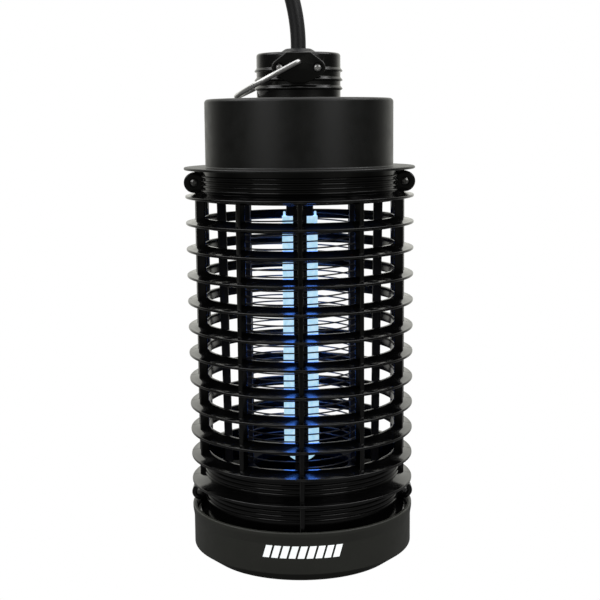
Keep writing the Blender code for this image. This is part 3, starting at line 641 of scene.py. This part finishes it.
def ring_outline(index):
    """Section of a ring: an upright hoop, swept out on top in a hollow curve to a thin rim."""
    z = TOP_RING_Z - index * RING_PITCH
    reach = FIRST_RING_RADIUS + (LAST_RING_RADIUS - FIRST_RING_RADIUS) * index / (RING_COUNT - 1)
    sweep = []
    for k in range(1, SWEEP_STEPS):
        share = k / SWEEP_STEPS
        sweep.append((reach - (reach - HOOP_OUTER) * share, z + HOOP_ABOVE * share * share, 0.0))
    return filleted(
        [
            (HOOP_INNER, z - HOOP_BELOW, 0.4 * MM),
            (HOOP_OUTER, z - HOOP_BELOW, 0.4 * MM),
            (HOOP_OUTER, z - FLANGE_THICKNESS, 0.3 * MM),
            (reach, z - FLANGE_THICKNESS, 0.5 * MM),
            (reach, z, 0.5 * MM),
            *sweep,
            (HOOP_OUTER, z + HOOP_ABOVE, 0.3 * MM),
            (HOOP_INNER, z + HOOP_ABOVE, 0.4 * MM),
        ]
    )


def beaded_band(name, low, high, middle):
    """A closed band of the cage, with four fine round beads about its outside."""
    outline = [(WALL_INNER, high), (WALL_INNER, low), (WALL_OUTER, low)]
    bead_steps = 6
    for k in range(BEADS_PER_BAND):
        z = middle + (k - (BEADS_PER_BAND - 1) / 2) * BEAD_PITCH
        for j in range(bead_steps + 1):
            a = pi * j / bead_steps
            outline.append((WALL_OUTER + BEAD_PROUD * sin(a), z - BEAD_HALF_HEIGHT * cos(a)))
    outline.append((WALL_OUTER, high))
    return turned(name, outline, WALL_END_ANGLE, HALF_STEPS)


def rib(angle_deg, low, high):
    half = RIB_WIDTH / 2
    corners = [
        (-half, -RIB_OUTER, RIB_EDGE),
        (half, -RIB_OUTER, RIB_EDGE),
        (half, -RIB_INNER, 0.3 * MM),
        (-half, -RIB_INNER, 0.3 * MM),
    ]
    bar = prism("rib", filleted(corners, 5), low, high, "Z")
    bar.data.transform(Matrix.Rotation(radians(angle_deg), 4, "Z"))
    return bar


def seam_rib(side):
    near, far = -SEAM_GAP, -SEAM_GAP - SEAM_RIB_WIDTH
    outer = RIB_OUTER - 0.3 * MM
    corners = [
        (side * RIB_INNER, near, 0.2 * MM),
        (side * outer, near, 0.3 * MM),
        (side * outer, far, 0.7 * MM),
        (side * RIB_INNER, far, 0.2 * MM),
    ]
    return prism("seam_rib", filleted(corners), INSIDE_GUIDE, CAGE_TOP - 0.3 * MM, "Z")


def cage_additions():
    """Everything that joins the middle band of a cage half: bands, rings, guide, ribs and ears."""
    low_band_top = LAST_RING + 0.2 * MM
    pieces = [
        beaded_band("band", CAGE_BOTTOM, low_band_top, LAST_RING - LOW_BEADS_BELOW_RING),
        beaded_band("band", TOP_RING_Z, CAGE_TOP, TOP_RING_Z + TOP_BEADS_ABOVE_RING),
    ]
    guide_low, guide_high = CAGE_BOTTOM + 0.3 * MM, CAGE_BOTTOM + GUIDE_THICKNESS
    guide = [
        (HOOP_INNER, guide_low, 0.3 * MM),
        (GUIDE_RADIUS, guide_low, 0.4 * MM),
        (GUIDE_RADIUS, guide_high, 0.4 * MM),
        (HOOP_INNER, guide_high, 0.3 * MM),
    ]
    pieces.append(turned("guide", filleted(guide), RING_END_ANGLE, HALF_STEPS))
    pieces += [turned("ring", ring_outline(i), RING_END_ANGLE, HALF_STEPS) for i in range(RING_COUNT)]
    under_top_ring = TOP_RING_Z - FLANGE_THICKNESS / 2
    in_low_ring = LOW_OPEN_RING - FLANGE_THICKNESS / 2
    pieces.append(rib(0, INSIDE_GUIDE, under_top_ring))
    pieces += [rib(angle, in_low_ring, under_top_ring) for angle in OPEN_RIB_ANGLES]
    for side in (-1, 1):
        pieces.append(seam_rib(side))
        for z, radius in EARS:
            outline = circle(side * EAR_X, z, radius, 48)
            near = -SEAM_GAP - 0.05 * MM
            pieces.append(soft_prism("ear", outline, -EAR_DEPTH, near, "Y", 0.7 * MM))
    return pieces


def cage_half(node, is_front):
    """A half of the cage. The front one has the seats that the screw heads lie in."""
    middle = (LOW_OPEN_RING + LAST_RING) / 2
    body = beaded_band(node + "_moulding", LAST_RING, LOW_OPEN_RING, middle)
    combine(body, cage_additions(), "UNION")
    cuts = []
    for side in (-1, 1):
        for z, _ in EARS:
            cuts.append(prism("hole", circle(side * EAR_X, z, SCREW_BORE), -8 * MM, 1 * MM, "Y"))
            if is_front:
                seat = circle(side * EAR_X, z, EAR_SEAT_RADIUS)
                cuts.append(prism("seat", seat, -8 * MM, EAR_SEAT_DEPTH - EAR_DEPTH, "Y"))
    combine(body, cuts, "DIFFERENCE")
    if not is_front:
        body.data.transform(Matrix.Rotation(pi, 4, "Z"))
    return stand_for(body, node)


# --- Cap and neck ---------------------------------------------------------------------------------


def build_cap():
    """The round cap, with the two hollow bosses inside it that the deck's screws go up into."""
    inner = CAP_RADIUS - CAP_WALL
    inside = CAP_TOP - CAP_TOP_WALL
    hole = NECK_RADIUS + 0.4 * MM
    flange_top = CAP_FLANGE_BOTTOM + FLANGE_THICKNESS
    corners = [
        (inner, CAP_FLANGE_BOTTOM, 0.3 * MM),
        (CAP_FLANGE_RADIUS, CAP_FLANGE_BOTTOM, 0.5 * MM),
        (CAP_FLANGE_RADIUS, flange_top, 0.6 * MM),
        (CAP_RADIUS, flange_top, 0.8 * MM),
        (CAP_RADIUS, CAP_TOP, CAP_FILLET),
        (hole, CAP_TOP, 0.4 * MM),
        (hole, inside, 0.3 * MM),
        (inner, inside, 1.0 * MM),
    ]
    cap = turned("cap_shell", filleted(corners, 6))
    bosses, holes = [], []
    for node in ("deck_screw_front", "deck_screw_rear"):
        low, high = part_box(node)
        y = (low.y + high.y) / 2
        boss_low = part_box("deck_plate")[0].z + CAP_BOSS_ABOVE_DECK
        bosses.append(prism("boss", circle(0, y, CAP_BOSS_RADIUS), boss_low, inside + 1 * MM, "Z"))
        holes.append(prism("hole", circle(0, y, SCREW_BORE), boss_low - 1 * MM, high.z + 3 * MM, "Z"))
    combine(cap, bosses, "UNION")
    combine(cap, holes, "DIFFERENCE")
    stand_for(cap, "cap_housing")


def neck_outline():
    """Section of the neck: a foot under the cap's top, three round ridges and a closed top."""
    inner = NECK_RADIUS - NECK_WALL
    foot_top = CAP_TOP - CAP_TOP_WALL - 0.3 * MM
    hole = GROMMET_STEM + 0.3 * MM
    corners = [
        (inner, neck_low.z, 0.3 * MM),
        (NECK_FOOT_RADIUS, neck_low.z, 0.3 * MM),
        (NECK_FOOT_RADIUS, foot_top, 0.3 * MM),
        (NECK_RADIUS, foot_top, 0.3 * MM),
    ]
    for z in RIDGE_HEIGHTS:
        corners.append((NECK_RADIUS, z - 0.8 * MM, 0.4 * MM))
        corners.append((RIDGE_RADIUS, z - 0.4 * MM, 0.4 * MM))
        corners.append((RIDGE_RADIUS, z + 0.2 * MM, 0.5 * MM))
        corners.append((NECK_RADIUS, z + 1.5 * MM, 0.7 * MM))
    corners += [
        (NECK_RADIUS, NECK_TOP, 1.6 * MM),
        (hole, NECK_TOP, 0.3 * MM),
        (hole, NECK_TOP - NECK_WALL, 0.3 * MM),
        (inner, NECK_TOP - NECK_WALL, 0.5 * MM),
    ]
    return filleted(corners, 5)


def pad_outline():
    """The front pad: narrow at the top, with a round lobe about each clamp screw."""
    right = [
        (3.5 * MM, NECK_SCREW_Z - 8.2 * MM, 1.5 * MM),
        (7.5 * MM, NECK_SCREW_Z - 6.6 * MM, 1.5 * MM),
    ]
    lobe_steps = 10
    for k in range(lobe_steps + 1):
        a = radians(50) * (2 * k / lobe_steps - 1)
        right.append((NECK_SCREW_X + LOBE_RADIUS * cos(a), NECK_SCREW_Z + LOBE_RADIUS * sin(a), 0.0))
    right.append((6.4 * MM, NECK_TOP - 0.4 * MM, 1.0 * MM))
    return filleted(right + [(-x, z, radius) for x, z, radius in reversed(right)], 5)


def neck_half(node, is_front):
    """A half of the neck. The front one carries the pad with the two screw seats."""
    body = turned(node + "_moulding", neck_outline(), NECK_END_ANGLE, HALF_STEPS)
    pad = pad_outline() if is_front else circle(0, PIVOT_Z, 4.0 * MM)
    additions = [soft_prism("pad", pad, -PAD_FACE, -PAD_BACK, "Y", 0.6 * MM)]
    for side in (-1, 1):
        boss = circle(side * NECK_SCREW_X, NECK_SCREW_Z, NECK_BOSS_RADIUS)
        additions.append(prism("boss", boss, 3.0 * MM - NECK_RADIUS, -0.4 * MM, "Y"))
    combine(body, additions, "UNION")
    beyond = -PAD_FACE - 1 * MM
    pivot = circle(0, PIVOT_Z, BAIL_WIRE + 0.3 * MM)
    cuts = [prism("pivot", pivot, beyond, 1 * MM - PAD_BACK, "Y")]
    for side in (-1, 1):
        x = side * NECK_SCREW_X
        deep = beyond if is_front else -12 * MM
        cuts.append(prism("hole", circle(x, NECK_SCREW_Z, SCREW_BORE), deep, 1 * MM, "Y"))
        if is_front:
            seat = circle(x, NECK_SCREW_Z, NECK_SEAT_RADIUS)
            cuts.append(prism("seat", seat, beyond, NECK_SEAT_DEPTH - PAD_FACE, "Y"))
    combine(body, cuts, "DIFFERENCE")
    if not is_front:
        body.data.transform(Matrix.Rotation(pi, 4, "Z"))
    return dress(stand_for(body, node), "neck")


# --- Screws ---------------------------------------------------------------------------------------


def build_screw(node, axis):
    """A pan-head screw with a cross recess, where the frame has it. Its head faces -Y or -Z."""
    low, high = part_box(node)
    middle = (low + high) / 2
    if axis == "Y":
        head_radius, length = (high.x - low.x) / 2, high.y - low.y
        place = Matrix.Translation((middle.x, low.y, middle.z)) @ Matrix.Rotation(-pi / 2, 4, "X")
    else:
        head_radius, length = (high.x - low.x) / 2, high.z - low.z
        place = Matrix.Translation((middle.x, middle.y, low.z))
    corners = [
        (0.0, 0.0, 0.0),
        (0.45 * head_radius, 0.0, 0.3 * MM),
        (head_radius, 0.45 * MM, 0.5 * MM),
        (head_radius, SCREW_HEAD_HEIGHT, 0.15 * MM),
        (SCREW_SHANK_RADIUS, SCREW_HEAD_HEIGHT, 0.1 * MM),
        (SCREW_SHANK_RADIUS, length - SCREW_TIP_LENGTH, 0.2 * MM),
        (0.3 * MM, length, 0.1 * MM),
        (0.0, length, 0.0),
    ]
    screw = turned(node + "_turned", filleted(corners), None, 36)
    arm, half = 0.62 * head_radius, CROSS_HALF_WIDTH
    for size in ((arm, half), (half, arm)):
        outline = [(-size[0], -size[1]), (size[0], -size[1]), (size[0], size[1]), (-size[0], size[1])]
        combine(screw, [prism("recess", outline, -1 * MM, CROSS_DEPTH, "Z")], "DIFFERENCE")
    screw.data.transform(place)
    stand_for(screw, node)
    if node.startswith("cage"):
        dress(screw, "screw")
    return screw


# --- Bail, cord and plug --------------------------------------------------------------------------


def build_bail():
    """The bright wire loop, lying to the left with its tip just over the cap's top."""
    half_width = bail_high.y - BAIL_WIRE
    droop = asin((PIVOT_Z - CAP_TOP - BAIL_WIRE - BAIL_OVER_CAP) / BAIL_REACH)
    center = half_width - BAIL_BEND
    near = [(0.0, -BAIL_END), (0.0, -BAIL_PIN_MIDDLE), (0.0, -center)]
    bend_steps = 8
    for k in range(1, bend_steps + 1):
        a = pi / 2 * k / bend_steps
        near.append((BAIL_BEND * (1 - cos(a)), -center - BAIL_BEND * sin(a)))
    arc_steps = 64
    straight = BAIL_REACH - half_width
    arc = []
    for k in range(arc_steps + 1):
        a = pi * k / arc_steps
        arc.append((straight + half_width * sin(a), -half_width * cos(a)))
    far = [(u, -y) for u, y in reversed(near)]
    path = [(-u * cos(droop), y, PIVOT_Z - u * sin(droop)) for u, y in near + arc + far]
    stand_for(tube("bail_wire", path, BAIL_WIRE + BAIL_EXTRA, 20), "hanging_bail")


def cable_path():
    path = [(0, 0, cable_low.z), (0, 0, CABLE_BEND_Z - 10 * MM), (0, 0, CABLE_BEND_Z)]
    steps = 24
    rise = CABLE_BEND_RADIUS * sin(CABLE_BEND_ANGLE)
    shift = CABLE_BEND_RADIUS * (1 - cos(CABLE_BEND_ANGLE))
    for k in range(1, steps + 1):
        a = CABLE_BEND_ANGLE * k / steps
        path.append((-CABLE_BEND_RADIUS * (1 - cos(a)), 0, CABLE_BEND_Z + CABLE_BEND_RADIUS * sin(a)))
    for k in range(1, steps + 1):
        a = CABLE_BEND_ANGLE * (1 - k / steps)
        x = -2 * shift + CABLE_BEND_RADIUS * (1 - cos(a))
        path.append((x, 0, CABLE_BEND_Z + 2 * rise - CABLE_BEND_RADIUS * sin(a)))
    return path


def rounded_oval(half_x, half_y, x, z, steps=64):
    """A loop between an ellipse and a rectangle."""
    loop = []
    for i in range(steps):
        a = tau * i / steps
        c, s = cos(a), sin(a)
        power = 0.72
        px = half_x * abs(c) ** power * (1 if c >= 0 else -1)
        py = half_y * abs(s) ** power * (1 if s >= 0 else -1)
        loop.append((x + px, py, z))
    return loop


def build_cord():
    """The grommet in the neck's top, and the mains cord that leaves through it."""
    head = grommet_high.x
    outline = [
        (GROMMET_BORE, grommet_low.z, 0.2 * MM),
        (GROMMET_STEM, grommet_low.z, 0.3 * MM),
        (GROMMET_STEM, NECK_TOP + 0.3 * MM, 0.2 * MM),
        (head, NECK_TOP + 0.3 * MM, 0.3 * MM),
        (head - 0.5 * MM, NECK_TOP + 1.1 * MM, 0.5 * MM),
        (head - 2.8 * MM, grommet_high.z, 1.4 * MM),
        (GROMMET_BORE, grommet_high.z, 0.3 * MM),
    ]
    stand_for(turned("grommet_moulding", filleted(outline), None, 64), "cord_grommet")
    stand_for(tube("cord_sheath", cable_path(), CABLE_RADIUS, 32), "power_cable")
    build_plug()


def build_plug():
    """The plug, with a grooved sleeve below an oval grip, and its two pins."""
    x = (plug_low.x + plug_high.x) / 2
    sections = []
    for k in range(SLEEVE_RINGS + 1):
        h = SLEEVE_LENGTH * k / SLEEVE_RINGS
        groove = SLEEVE_GROOVE * (1 if k % 4 in (2, 3) else 0)
        radius = (SLEEVE_RADIUS + SLEEVE_FLARE * h - groove) * MM
        sections.append([(x + u, v, plug_low.z + h * MM) for u, v in circle(0, 0, radius, 64)])
    for half_x, half_y, h in GRIP_SECTIONS:
        sections.append(rounded_oval(half_x * MM, half_y * MM, x, plug_low.z + h * MM))
    bm = bmesh.new()
    skin(bm, sections)
    plug = add_object("plug_moulding", bm)
    sockets = []
    for node in ("plug_pin_left", "plug_pin_right"):
        low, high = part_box(node)
        pin_x, radius = (low.x + high.x) / 2, (high.x - low.x) / 2
        bore = circle(pin_x, 0, radius + 0.3 * MM)
        sockets.append(prism("pin_hole", bore, low.z - 0.5 * MM, plug_high.z + 1 * MM, "Z"))
        corners = [
            (0.0, low.z, 0.0),
            (radius, low.z, 0.2 * MM),
            (radius, high.z, 1.6 * MM),
            (0.0, high.z, 0.0),
        ]
        pin = turned(node + "_turned", filleted(corners, 6), None, 36)
        pin.data.transform(Matrix.Translation((pin_x, 0, 0)))
        stand_for(pin, node)
    combine(plug, sockets, "DIFFERENCE")
    stand_for(plug, "plug_body")


# --- Grid and lamp --------------------------------------------------------------------------------


def grid_path(start_angle):
    steps = 48
    path = []
    for step in range(GRID_TURNS * steps + 1):
        a = start_angle + tau * step / steps
        path.append((GRID_RADIUS * sin(a), -GRID_RADIUS * cos(a), GRID_BOTTOM + GRID_PITCH * step / steps))
    return path


def build_post(node, angle_deg, wire_offset):
    """A grid post with a shallow notch behind each wire."""
    half = (post_high.x - post_low.x) / 2
    spacing = GRID_PITCH / 2
    outline = [(POST_INNER, post_low.z), (POST_OUTER, post_low.z)]
    z = GRID_BOTTOM + wire_offset
    while z < post_high.z - spacing:
        outline += [
            (POST_OUTER + POST_TOOTH, z + spacing / 2 - TOOTH_BELOW),
            (POST_OUTER + POST_TOOTH, z + spacing / 2 + TOOTH_ABOVE),
            (POST_OUTER, z + spacing / 2 + TOOTH_END),
            (POST_OUTER, z + 3 * spacing / 2 - TOOTH_START),
        ]
        z += spacing
    outline += [(POST_OUTER, post_high.z), (POST_INNER, post_high.z)]
    bm = bmesh.new()
    skin(bm, [[(x, -r, v) for r, v in outline] for x in (-half, half)])
    post = add_object(node + "_comb", bm)
    post.data.transform(Matrix.Rotation(radians(angle_deg), 4, "Z"))
    return stand_for(post, node)


def build_grid():
    stand_for(tube("grid_coil_live", grid_path(0.0), GRID_WIRE, 8), "grid_wire_live")
    stand_for(tube("grid_coil_return", grid_path(pi), GRID_WIRE, 8), "grid_wire_return")
    for node, angle in (
        ("grid_post_front", 0),
        ("grid_post_right", 90),
        ("grid_post_rear", 180),
        ("grid_post_left", 270),
    ):
        # Each quarter turn lifts the wire by a quarter of its pitch.
        build_post(node, angle, GRID_PITCH * (angle % 180) / 360)


def build_pillars():
    """The two slim bars beside the grid, a little closer together at the foot."""
    half = PILLAR_DEPTH / 2
    for side, node in ((-1, "grid_pillar_left"), (1, "grid_pillar_right")):
        low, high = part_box(node)
        bm = bmesh.new()
        sections = []
        for (x, width), z in ((PILLAR_BOTTOM, low.z), (PILLAR_TOP, high.z)):
            near, far = side * x - width / 2, side * x + width / 2
            corners = [(near, -half), (far, -half), (far, half), (near, half)]
            outline = filleted([(u, v, 0.7 * MM) for u, v in corners], 4)
            sections.append([(u, v, z) for u, v in outline])
        skin(bm, sections)
        stand_for(add_object(node + "_bar", bm), node)


def lamp_block(node, name, bore, bore_low, bore_high):
    """A soft-edged block with two bores, for the lamp's base and its socket."""
    low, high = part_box(node)
    corners = [(low.x, low.y), (high.x, low.y), (high.x, high.y), (low.x, high.y)]
    outline = filleted([(x, y, 1.8 * MM) for x, y in corners], 6)
    block = soft_prism(name, outline, low.z, high.z, "Z", 0.5 * MM)
    bores = []
    for side in (-1, 1):
        outline = circle(side * LAMP_TUBE_X, 0, bore)
        bores.append(prism("bore", outline, bore_low, bore_high, "Z"))
    combine(block, bores, "DIFFERENCE")
    stand_for(block, node)


def build_lamp():
    """The U-shaped tube, with a short sealed glass tip beside its base at the top of each leg."""
    bend_z = tube_low.z + LAMP_TUBE_RADIUS + LAMP_TUBE_X
    middle_z = (tube_high.z + bend_z) / 2
    path = [(-LAMP_TUBE_X, 0, tube_high.z), (-LAMP_TUBE_X, 0, middle_z)]
    steps = 32
    for k in range(steps + 1):
        a = pi * k / steps
        path.append((-LAMP_TUBE_X * cos(a), 0, bend_z - LAMP_TUBE_X * sin(a)))
    path += [(LAMP_TUBE_X, 0, middle_z), (LAMP_TUBE_X, 0, tube_high.z)]
    glass = tube("lamp_glass_tube", path, LAMP_TUBE_RADIUS, 32)
    tips = []
    for side in (-1, 1):
        outline = circle(side * LAMP_TIP_X, 0, LAMP_TIP_RADIUS, 20)
        low, high = tube_high.z - 1 * MM, tube_high.z + LAMP_TIP_HEIGHT
        tips.append(soft_prism("tip", outline, low, high, "Z", 0.5 * MM))
    combine(glass, tips, "UNION")
    stand_for(glass, "lamp_tube")
    lamp_top = lamp_base_high.z
    lamp_block("lamp_base", "lamp_cap", LAMP_BASE_BORE, lamp_top - LAMP_BASE_BORE_DEPTH, lamp_top + 1 * MM)
    lamp_block("lamp_socket", "lamp_holder", SOCKET_BORE, lamp_top - 1 * MM, lamp_top + SOCKET_BORE_DEPTH)


# --- Tray -----------------------------------------------------------------------------------------


def build_tray():
    ledge_top = CAGE_BOTTOM - 0.3 * MM
    ledge_bottom = ledge_top - TRAY_LEDGE_THICKNESS
    corners = [
        (0.0, 0.0, 0.0),
        (TRAY_FOOT_RADIUS, 0.0, 0.5 * MM),
        (TRAY_BODY_RADIUS, TRAY_SLOPE_TOP, 0.9 * MM),
        (TRAY_BODY_RADIUS, TRAY_LIP_BOTTOM - 4.0 * MM, 4.0 * MM),
        (TRAY_RADIUS, TRAY_LIP_BOTTOM + 0.5 * MM, 2.0 * MM),
        (TRAY_RADIUS, TRAY_TOP, 0.7 * MM),
        (TRAY_INNER, TRAY_TOP, 0.5 * MM),
        (TRAY_INNER, ledge_top, 0.3 * MM),
        (TRAY_LEDGE_INNER, ledge_top, 0.4 * MM),
        (TRAY_LEDGE_INNER, ledge_bottom, 0.4 * MM),
        (TRAY_INNER, ledge_bottom, 0.3 * MM),
        (TRAY_INNER, TRAY_SLOPE_TOP + 1.0 * MM, 1.0 * MM),
        (TRAY_FOOT_RADIUS, TRAY_FLOOR, 1.0 * MM),
        (0.0, TRAY_FLOOR, 0.0),
    ]
    # The tray's material is a paler copy of the case plastic: painted light for the reflected floor.
    dress(stand_for(turned("tray_moulding", filleted(corners, 5)), "base_tray"), "tray")


def build_mark():
    """A plain white printed band of equal slanted bars on the front of the tray."""
    steps = 4
    bm = bmesh.new()
    for bar in range(PRINT_BARS):
        left = (bar - PRINT_BARS / 2) * (PRINT_WIDTH + PRINT_GAP) + PRINT_GAP / 2
        columns = []
        for k in range(steps + 1):
            x = left + PRINT_WIDTH * k / steps
            column = []
            for r, share in (
                (-PRINT_SUNK, -0.5),
                (-PRINT_SUNK, 0.5),
                (PRINT_PROUD, 0.5),
                (PRINT_PROUD, -0.5),
            ):
                radius = TRAY_BODY_RADIUS + r
                angle = (x + PRINT_SLANT * share) / TRAY_BODY_RADIUS
                column.append((radius * sin(angle), -radius * cos(angle), PRINT_Z + PRINT_HEIGHT * share))
            columns.append(column)
        skin(bm, columns)
    # The bars wear the print material, which glows by itself: painted light.
    mark = dress(add_object("tray_printed_bars", bm), "print")
    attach(mark, "tray")


# --- Stage ----------------------------------------------------------------------------------------


def azimuth_glow(tree, vector):
    """The studio's brightness in a level direction, dim in front and white behind, and the direction's Z."""
    split = add_node(tree, "ShaderNodeSeparateXYZ")
    tree.links.new(vector, split.inputs["Vector"])
    across = add_node(tree, "ShaderNodeMath", operation="ABSOLUTE")
    tree.links.new(split.outputs["X"], across.inputs[0])
    toward = add_node(tree, "ShaderNodeMath", operation="MULTIPLY")
    toward.inputs[1].default_value = -1.0
    tree.links.new(split.outputs["Y"], toward.inputs[0])
    angle = add_node(tree, "ShaderNodeMath", operation="ARCTAN2")
    tree.links.new(across.outputs[0], angle.inputs[0])
    tree.links.new(toward.outputs[0], angle.inputs[1])
    share = add_node(tree, "ShaderNodeMath", operation="DIVIDE")
    share.inputs[1].default_value = pi
    tree.links.new(angle.outputs[0], share.inputs[0])
    around = add_node(tree, "ShaderNodeValToRGB")
    ramp = around.color_ramp
    ramp.interpolation = "EASE"
    while len(ramp.elements) < len(STUDIO_GLOW):
        ramp.elements.new(0.5)
    for element, (degrees_off, value) in zip(ramp.elements, STUDIO_GLOW):
        element.position = degrees_off / 180
        element.color = (value, value, STUDIO_BLUE * value, 1.0)
    tree.links.new(share.outputs[0], around.inputs["Fac"])
    return around.outputs["Color"], split.outputs["Z"]


def mix_light(tree, factor, first, second):
    """Blend two colours, each a socket or a fixed grey."""
    node = add_node(tree, "ShaderNodeMix", data_type="RGBA")
    tree.links.new(factor, node.inputs["Factor"])
    for socket, source in ((node.inputs["A"], first), (node.inputs["B"], second)):
        if isinstance(source, float):
            socket.default_value = (source, source, source, 1.0)
        else:
            tree.links.new(source, socket)
    return node.outputs["Result"]


def build_world():
    """White to the camera; what the object reflects is the studio."""
    world = bpy.data.worlds.new("studio")
    bpy.context.scene.world = world
    world.use_nodes = True
    tree = world.node_tree
    background = tree.nodes["Background"]
    place = add_node(tree, "ShaderNodeTexCoord")
    level, height = azimuth_glow(tree, place.outputs["Generated"])
    high_up = spread(tree, height, 0.0, 1.0, OVERHEAD_FROM, OVERHEAD_TO)
    overhead = mix_light(tree, high_up, level, OVERHEAD_GLOW)
    path = add_node(tree, "ShaderNodeLightPath")
    seen = mix_light(tree, path.outputs["Is Camera Ray"], overhead, 1.0)
    tree.links.new(seen, background.inputs["Color"])


def add_light(name, place, size, power):
    """A rectangular soft light, aimed at the middle of the cage."""
    light = bpy.data.lights.new(name, "AREA")
    light.shape = "RECTANGLE"
    light.size, light.size_y = size
    light.energy = power
    obj = bpy.data.objects.new(name, light)
    obj.location = place
    obj.rotation_euler = (Vector(LIGHT_TARGET) - Vector(place)).to_track_quat("-Z", "Y").to_euler()
    bpy.context.scene.collection.objects.link(obj)


def build_floor():
    """A white floor, just below the pulled-down tray; in reflections it is darkened under the object by a
    painted shadow and fades into the studio further out.
    """
    bm = bmesh.new()
    bmesh.ops.create_grid(bm, x_segments=8, y_segments=8, size=FLOOR_HALF)
    floor = add_object("pale_floor", bm)
    material, tree, shader = new_material("pale_floor")
    shader.inputs["Base Color"].default_value = (0.0, 0.0, 0.0, 1.0)
    shader.inputs["Specular IOR Level"].default_value = 0.0
    shader.inputs["Emission Strength"].default_value = 1.0
    place = add_node(tree, "ShaderNodeTexCoord")
    far_glow, _ = azimuth_glow(tree, place.outputs["Object"])
    distance = add_node(tree, "ShaderNodeVectorMath", operation="LENGTH")
    tree.links.new(place.outputs["Object"], distance.inputs[0])
    reach = distance.outputs["Value"]
    # Painted shadow: reflections of the floor are dark under the object and brighten over a short span round
    # it.
    shadow_fade = spread(tree, reach, 0.0, 1.0, *FLOOR_SHADOW_SPAN)
    near = mix_light(tree, shadow_fade, FLOOR_SHADOW_GLOW, FLOOR_NEAR_GLOW)
    out = mix_light(tree, spread(tree, reach, 0.0, 1.0, *FLOOR_FAR_SPAN), near, far_glow)
    path = add_node(tree, "ShaderNodeLightPath")
    seen = mix_light(tree, path.outputs["Is Camera Ray"], out, 1.0)
    tree.links.new(seen, shader.inputs["Emission Color"])
    floor.data.materials.append(material)
    floor.location.z = FLOOR_Z


def build_camera():
    """The photo's view."""
    data = bpy.data.cameras.new("photo_view")
    data.lens = CAMERA_LENS
    data.sensor_width = CAMERA_SENSOR
    camera = bpy.data.objects.new("photo_view", data)
    camera.location = CAMERA_PLACE
    tilt = Matrix.Rotation(pi / 2 - CAMERA_TILT, 4, "X")
    roll = Matrix.Rotation(CAMERA_ROLL, 4, "Z")
    camera.rotation_euler = (tilt @ roll).to_euler()
    bpy.context.scene.collection.objects.link(camera)
    bpy.context.scene.camera = camera


def build_stage():
    build_world()
    build_floor()
    for names, ((x, y, z), size, power) in (
        (("front_left_soft", "front_right_soft"), FRONT_LIGHT),
        (("left_high_soft", "right_high_soft"), HIGH_LIGHT),
    ):
        for name, side in zip(names, (-1, 1)):
            add_light(name, (side * x, y, z), size, power)
    build_camera()
    bpy.context.scene.view_settings.view_transform = "Standard"


# --- Everything -----------------------------------------------------------------------------------


def main():
    for node in ("cage_front", "cage_rear"):
        cage_half(node, node.endswith("front"))
    build_cap()
    for node in ("neck_front", "neck_rear"):
        neck_half(node, node.endswith("front"))
    for node in SLOT_OF:
        if "screw" in node:
            build_screw(node, "Z" if node.startswith("deck") else "Y")
    build_bail()
    build_cord()
    build_grid()
    build_pillars()
    build_lamp()
    build_tray()
    build_mark()
    for node, obj in frame["nodes"].items():
        if not obj.hide_render:
            dress(obj, LOOK_OF_NODE.get(node, MATERIAL_OF_SLOT[SLOT_OF[node]]))
    build_stage()


main()
